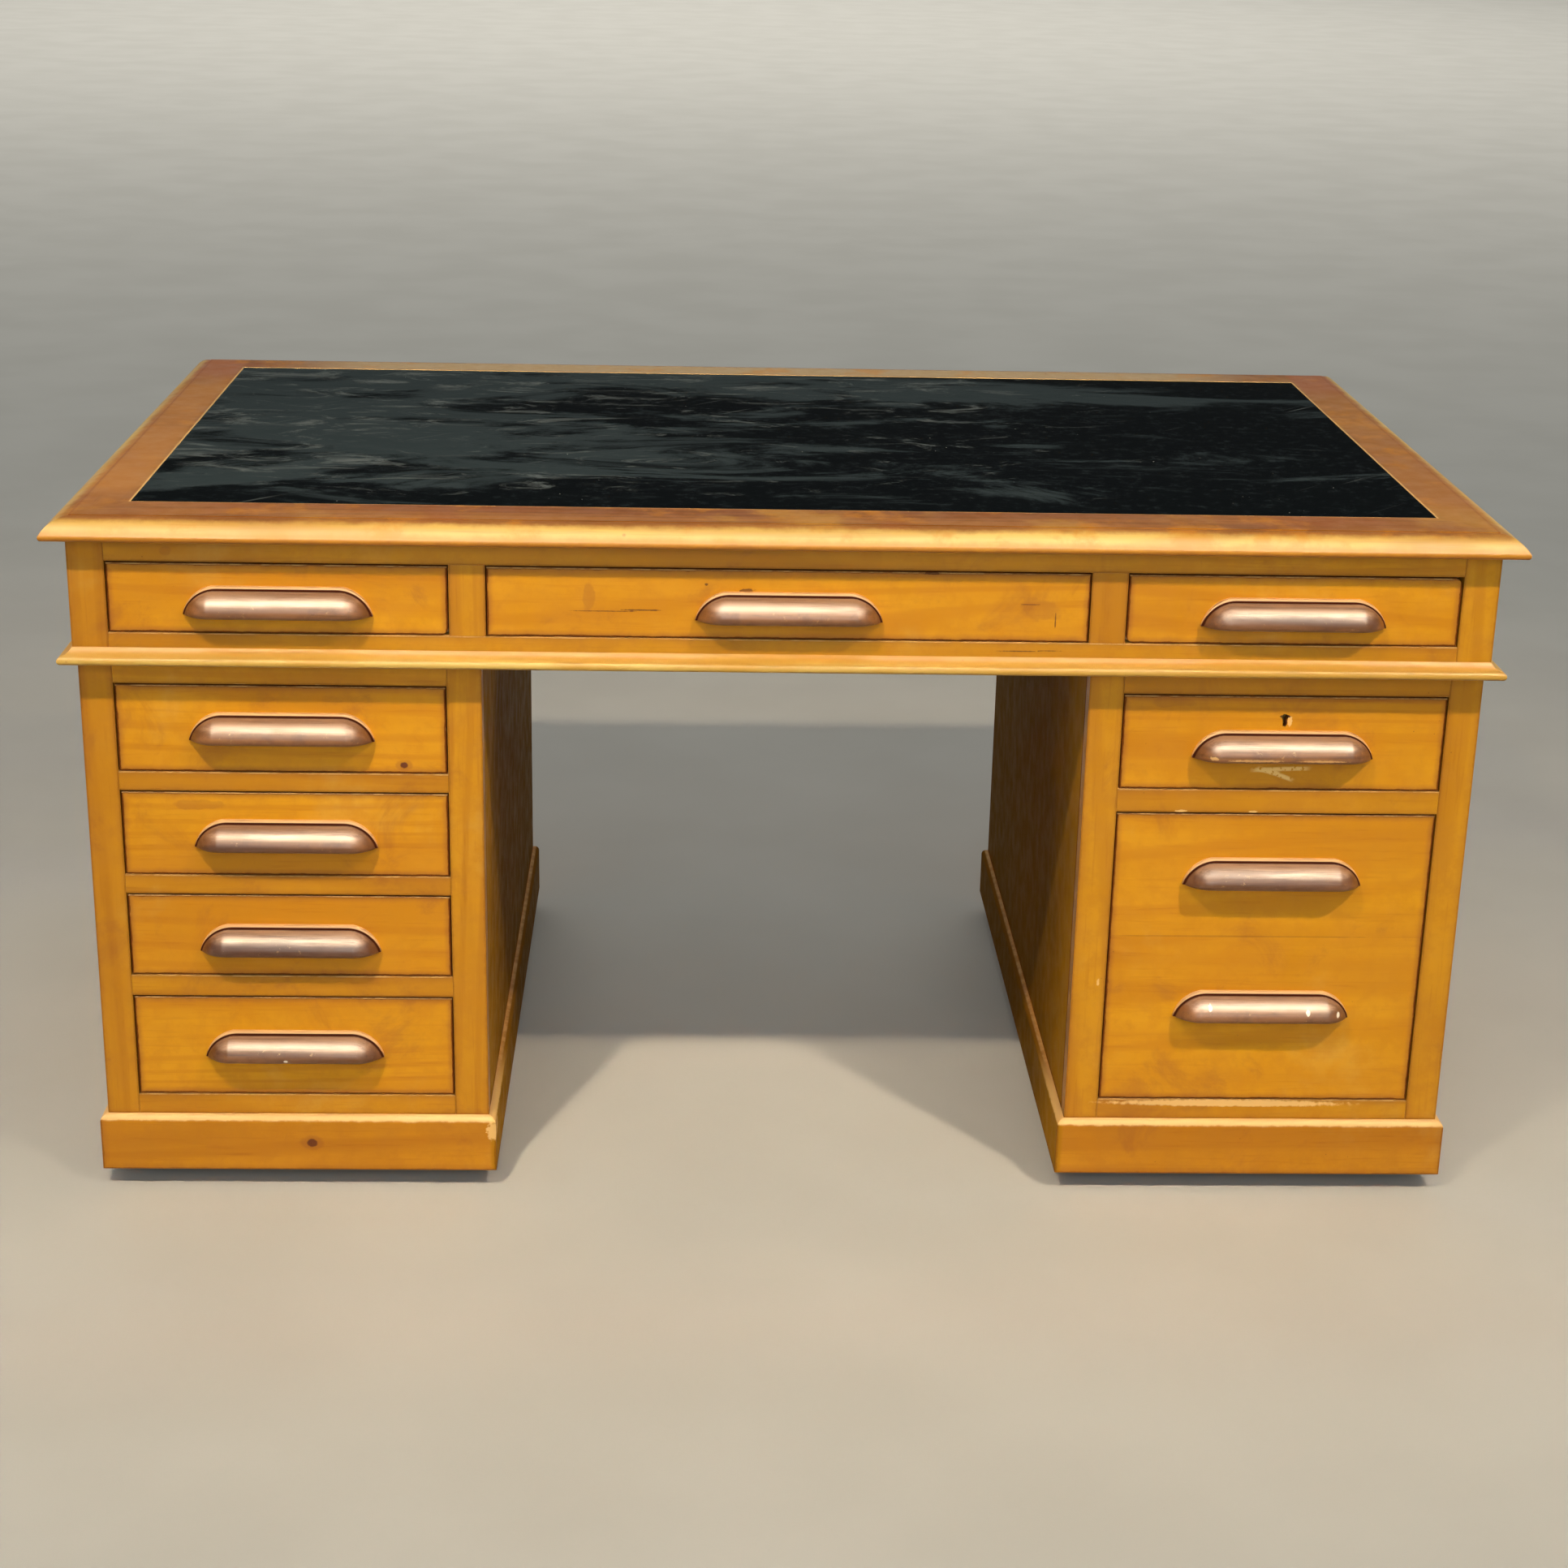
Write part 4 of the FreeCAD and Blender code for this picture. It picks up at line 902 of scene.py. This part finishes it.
# Marks seen on single pieces: kind, x, z, half length, half height. A knot has its radius and 0,
# and a scratch has how far its end lies to the side and up.
MARKS = {
    "left_plinth": (("knot", -0.5165, 0.055, 0.0060, 0), ("pale", -0.317, 0.070, 0.006, 0.012)),
    "left_1_front": (("knot", -0.4046, 0.4965, 0.0042, 0),),
    "left_2_front": (("stain", -0.62, 0.450, 0.030, 0.006),),
    "frieze_centre_front": (
        ("dark", -0.153, 0.6760, 0.020, 0.0009),
        ("dark", -0.190, 0.6745, 0.035, 0.0005),
        ("dark", -0.086, 0.7044, 0.0018, 0.0014),
        ("dark", -0.044, 0.6985, 0.008, 0.0018),
        ("dark", 0.148, 0.7190, 0.009, 0.0016),
        ("dark", 0.251, 0.6868, 0.012, 0.0005),
        ("dark", 0.278, 0.6700, 0.0007, 0.008),
        ("stain", -0.208, 0.690, 0.006, 0.014),
        ("stain", 0.262, 0.680, 0.022, 0.012),
    ),
    "frieze_face_frame": (
        ("dark", 0.240, 0.6365, 0.022, 0.0006),
        ("dark", 0.272, 0.6372, 0.012, 0.0005),
        ("stain", -0.640, 0.733, 0.006, 0.006),
    ),
    "right_face_frame": (
        ("pale", 0.428, 0.4535, 0.006, 0.0013),
        ("pale", 0.507, 0.4535, 0.005, 0.0012),
        ("pale", 0.350, 0.2520, 0.0016, 0.004),
        ("rub", 0.503, 0.1060, 0.132, 0.0042),
    ),
    "right_deep_front": (
        ("seam", 0.490, 0.3075, 0.160, 0.0010),
        ("stain", 0.350, 0.130, 0.014, 0.020),
    ),
    "right_upper_front": (
        ("pale", 0.5375, 0.5560, 0.0022, 0.006),
        # Painted shade of the keyhole opening.
        ("hole", 0.5325, 0.5612, 0.0060, 0.0018),
        ("hole", 0.5325, 0.5560, 0.0025, 0.0060),
        ("scratch", 0.532, 0.5010, 0.036, 0.0015),
        ("scratch", 0.527, 0.4955, 0.022, -0.0080),
        ("scratch", 0.519, 0.4985, 0.014, -0.0030),
        ("stain", 0.406, 0.5760, 0.026, 0.006),
    ),
    "right_upper_pull": (
        ("pale", 0.500, 0.5200, 0.030, 0.0014),
        ("pale", 0.570, 0.5200, 0.026, 0.0014),
        ("pale", 0.455, 0.5215, 0.004, 0.0020),
    ),
    "right_deep_pull": (
        ("paint", 0.4716, 0.2320, 0.0024, 0.0034),
        ("paint", 0.5795, 0.2280, 0.0024, 0.0032),
        ("paint", 0.6140, 0.2240, 0.0020, 0.0030),
    ),
    "left_4_pull": (("paint", -0.5390, 0.1630, 0.0024, 0.0016),),
}

DRAWERS = (
    "frieze_left", "frieze_centre", "frieze_right", "left_1", "left_2", "left_3", "left_4",
    "right_upper", "right_deep",
)

pine = varnished("varnished_pine", lined=True)
inner = raw_pine()
polish = mahogany("mahogany")


def front_pine(node):
    return varnished(node + "_pine", marks=MARKS[node], lined=True) if node in MARKS else pine


def frame_pine(node):
    marks = MARKS.get(node, ())
    return varnished(node + "_pine", FRAME_GOLD, FRAME_AMBER, marks, edge_dirt_shade_share=0.35)


def dress_case():
    dress("desktop_frame", desktop_wood())
    dress("desktop_panel", inner)
    dress("writing_leather", leather())
    frieze_pine = varnished("frieze_case_pine", FRAME_GOLD, FRAME_AMBER)
    dress("frieze_case", frieze_pine, BOARD_EDGE)
    dress("waist_moulding", moulded("waist_pine"))
    for node in ("frieze_drawer_runners", "pedestal_drawer_runners"):
        dress(node, inner, BOARD_EDGE)
    dress("frieze_face_frame", frame_pine("frieze_face_frame"), FRAME_EDGE)
    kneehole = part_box("right_pedestal_case")[0].x
    # The kneehole sides of the cases get painted shade.
    case_pine = varnished("case_pine", FRAME_GOLD, FRAME_AMBER, shaded=kneehole)
    plinth_low, plinth_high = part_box("right_plinth")
    for side in ("left", "right"):
        dress(side + "_pedestal_case", case_pine, BOARD_EDGE, upright)
        dress(side + "_face_frame", frame_pine(side + "_face_frame"), FRAME_EDGE)
        marks = MARKS.get(side + "_plinth", ())
        # The plinths get painted shade on their kneehole sides, and near the front of their tops a
        # pale that is partly worn wood and partly painted highlight.
        plinth_pine = varnished(
            side + "_plinth_pine", PLINTH_GOLD, PLINTH_AMBER, marks, edge_dirt_shade_share=0.5,
            worn=plinth_high.z - 4 * MM, shaded=plinth_low.x,
        )
        dress(side + "_plinth", plinth_pine, BOARD_EDGE)


def dress_drawers():
    for name in DRAWERS:
        front, pull = name + "_front", name + "_pull"
        dress(front, front_pine(front), 0.0, level, True)
        dress(name + "_box", inner, BOARD_EDGE)
        finish = mahogany(pull + "_mahogany", MARKS[pull]) if pull in MARKS else polish
        dress_pulls(pull, finish)


def dress_metal():
    brass = metal("lock_brass", BRASS, BRASS_DARK, 0.32, 1.0)
    iron = metal("castor_iron", IRON, IRON_DARK, 0.42, 0.9)
    wheel = metal("castor_wheel", WHEEL_GREY, WHEEL_DARK, 0.5, 0.0)
    dress("lock_case", brass)
    dress("lock_bolt", brass)
    dress("castor_plates", iron)
    for node in sorted(frame["nodes"]):
        if node.startswith("fork_"):
            dress(node, iron)
        if node.startswith("wheel_"):
            dress(node, wheel, WHEEL_EDGE)


# Floor, lights and camera


def make_floor():
    look = Look("pale_floor")
    soft = look.noise(look.place(), 3.0, 3.0)
    colour = look.mix(look.ramp(soft, 0.3, 0.7), FLOOR_DARK, FLOOR_LIGHT)
    material = look.finish(**{"Base Color": colour, "Roughness": 0.75, "Specular IOR Level": 0.2})
    mesh = bpy.data.meshes.new("floor")
    corners = [(-FLOOR, -FLOOR, 0), (FLOOR, -FLOOR, 0), (FLOOR, FLOOR, 0), (-FLOOR, FLOOR, 0)]
    mesh.from_pydata(corners, [], [(0, 1, 2, 3)])
    mesh.materials.append(material)
    floor = bpy.data.objects.new("floor", mesh)
    bpy.context.scene.collection.objects.link(floor)


def make_light(name, place, target, size, watts, colour, spread=180):
    """An area light. size is its width and its height."""
    data = bpy.data.lights.new(name, "AREA")
    data.shape = "RECTANGLE"
    data.size, data.size_y = size
    data.energy = watts
    data.color = colour
    data.spread = math.radians(spread)
    light = bpy.data.objects.new(name, data)
    light.location = place
    light.rotation_euler = (Vector(target) - Vector(place)).to_track_quat("-Z", "Y").to_euler()
    bpy.context.scene.collection.objects.link(light)
    return light


def make_lights():
    """One lamp high in front of each pedestal, a broad fill from the front and a pale surround.

    A wide strip between the lamps only shines in the varnish. The light for the far floor doesn't.
    """
    lamp = (0.14, 0.14)
    make_light("key_left", (-1.05, -2.3, 3.3), (-0.45, -0.4, 0.4), lamp, 9.7, WARM, 60)
    make_light("key_right", (1.70, -2.3, 3.3), (0.50, -0.4, 0.4), lamp, 9.7, WARM, 60)
    make_light("front_fill", (0.0, -4.6, 1.9), (0, -0.4, 0.4), (2.4, 2.4), 80, COOL)
    strip = make_light("strip", (0.3, -1.5, 3.6), (0.3, -1.1, 0.5), (4.8, 2.6), 470, STRIP_WARM)
    strip.visible_diffuse = False
    far = make_light("far_floor", (0, 21, 10), (0, 21.01, 0), (20, 24), 3000, FAR_WARM)
    far.visible_glossy = False
    world = bpy.data.worlds.new("studio")
    world.use_nodes = True
    background = world.node_tree.nodes["Background"].inputs
    background["Color"].default_value = (*COOL, 1)
    background["Strength"].default_value = 0.25
    bpy.context.scene.world = world


def make_camera():
    data = bpy.data.cameras.new("camera")
    data.sensor_width = SENSOR
    data.lens = FOCAL_PIXELS / IMAGE_SIZE * SENSOR
    camera = bpy.data.objects.new("camera", data)
    forward = Vector((
        math.sin(CAMERA_YAW) * math.cos(CAMERA_PITCH),
        math.cos(CAMERA_YAW) * math.cos(CAMERA_PITCH),
        -math.sin(CAMERA_PITCH),
    ))
    level = Vector((math.cos(CAMERA_YAW), -math.sin(CAMERA_YAW), 0))
    down = forward.cross(level)
    right = level * math.cos(CAMERA_ROLL) + down * math.sin(CAMERA_ROLL)
    up = -(down * math.cos(CAMERA_ROLL) - level * math.sin(CAMERA_ROLL))
    axes = Matrix((right, up, -forward)).transposed().to_4x4()
    camera.matrix_world = Matrix.Translation(CAMERA_PLACE) @ axes
    bpy.context.scene.collection.objects.link(camera)
    bpy.context.scene.camera = camera


dress_case()
dress_drawers()
dress_metal()
make_floor()
make_lights()
make_camera()
bpy.context.scene.view_settings.view_transform = "Standard"
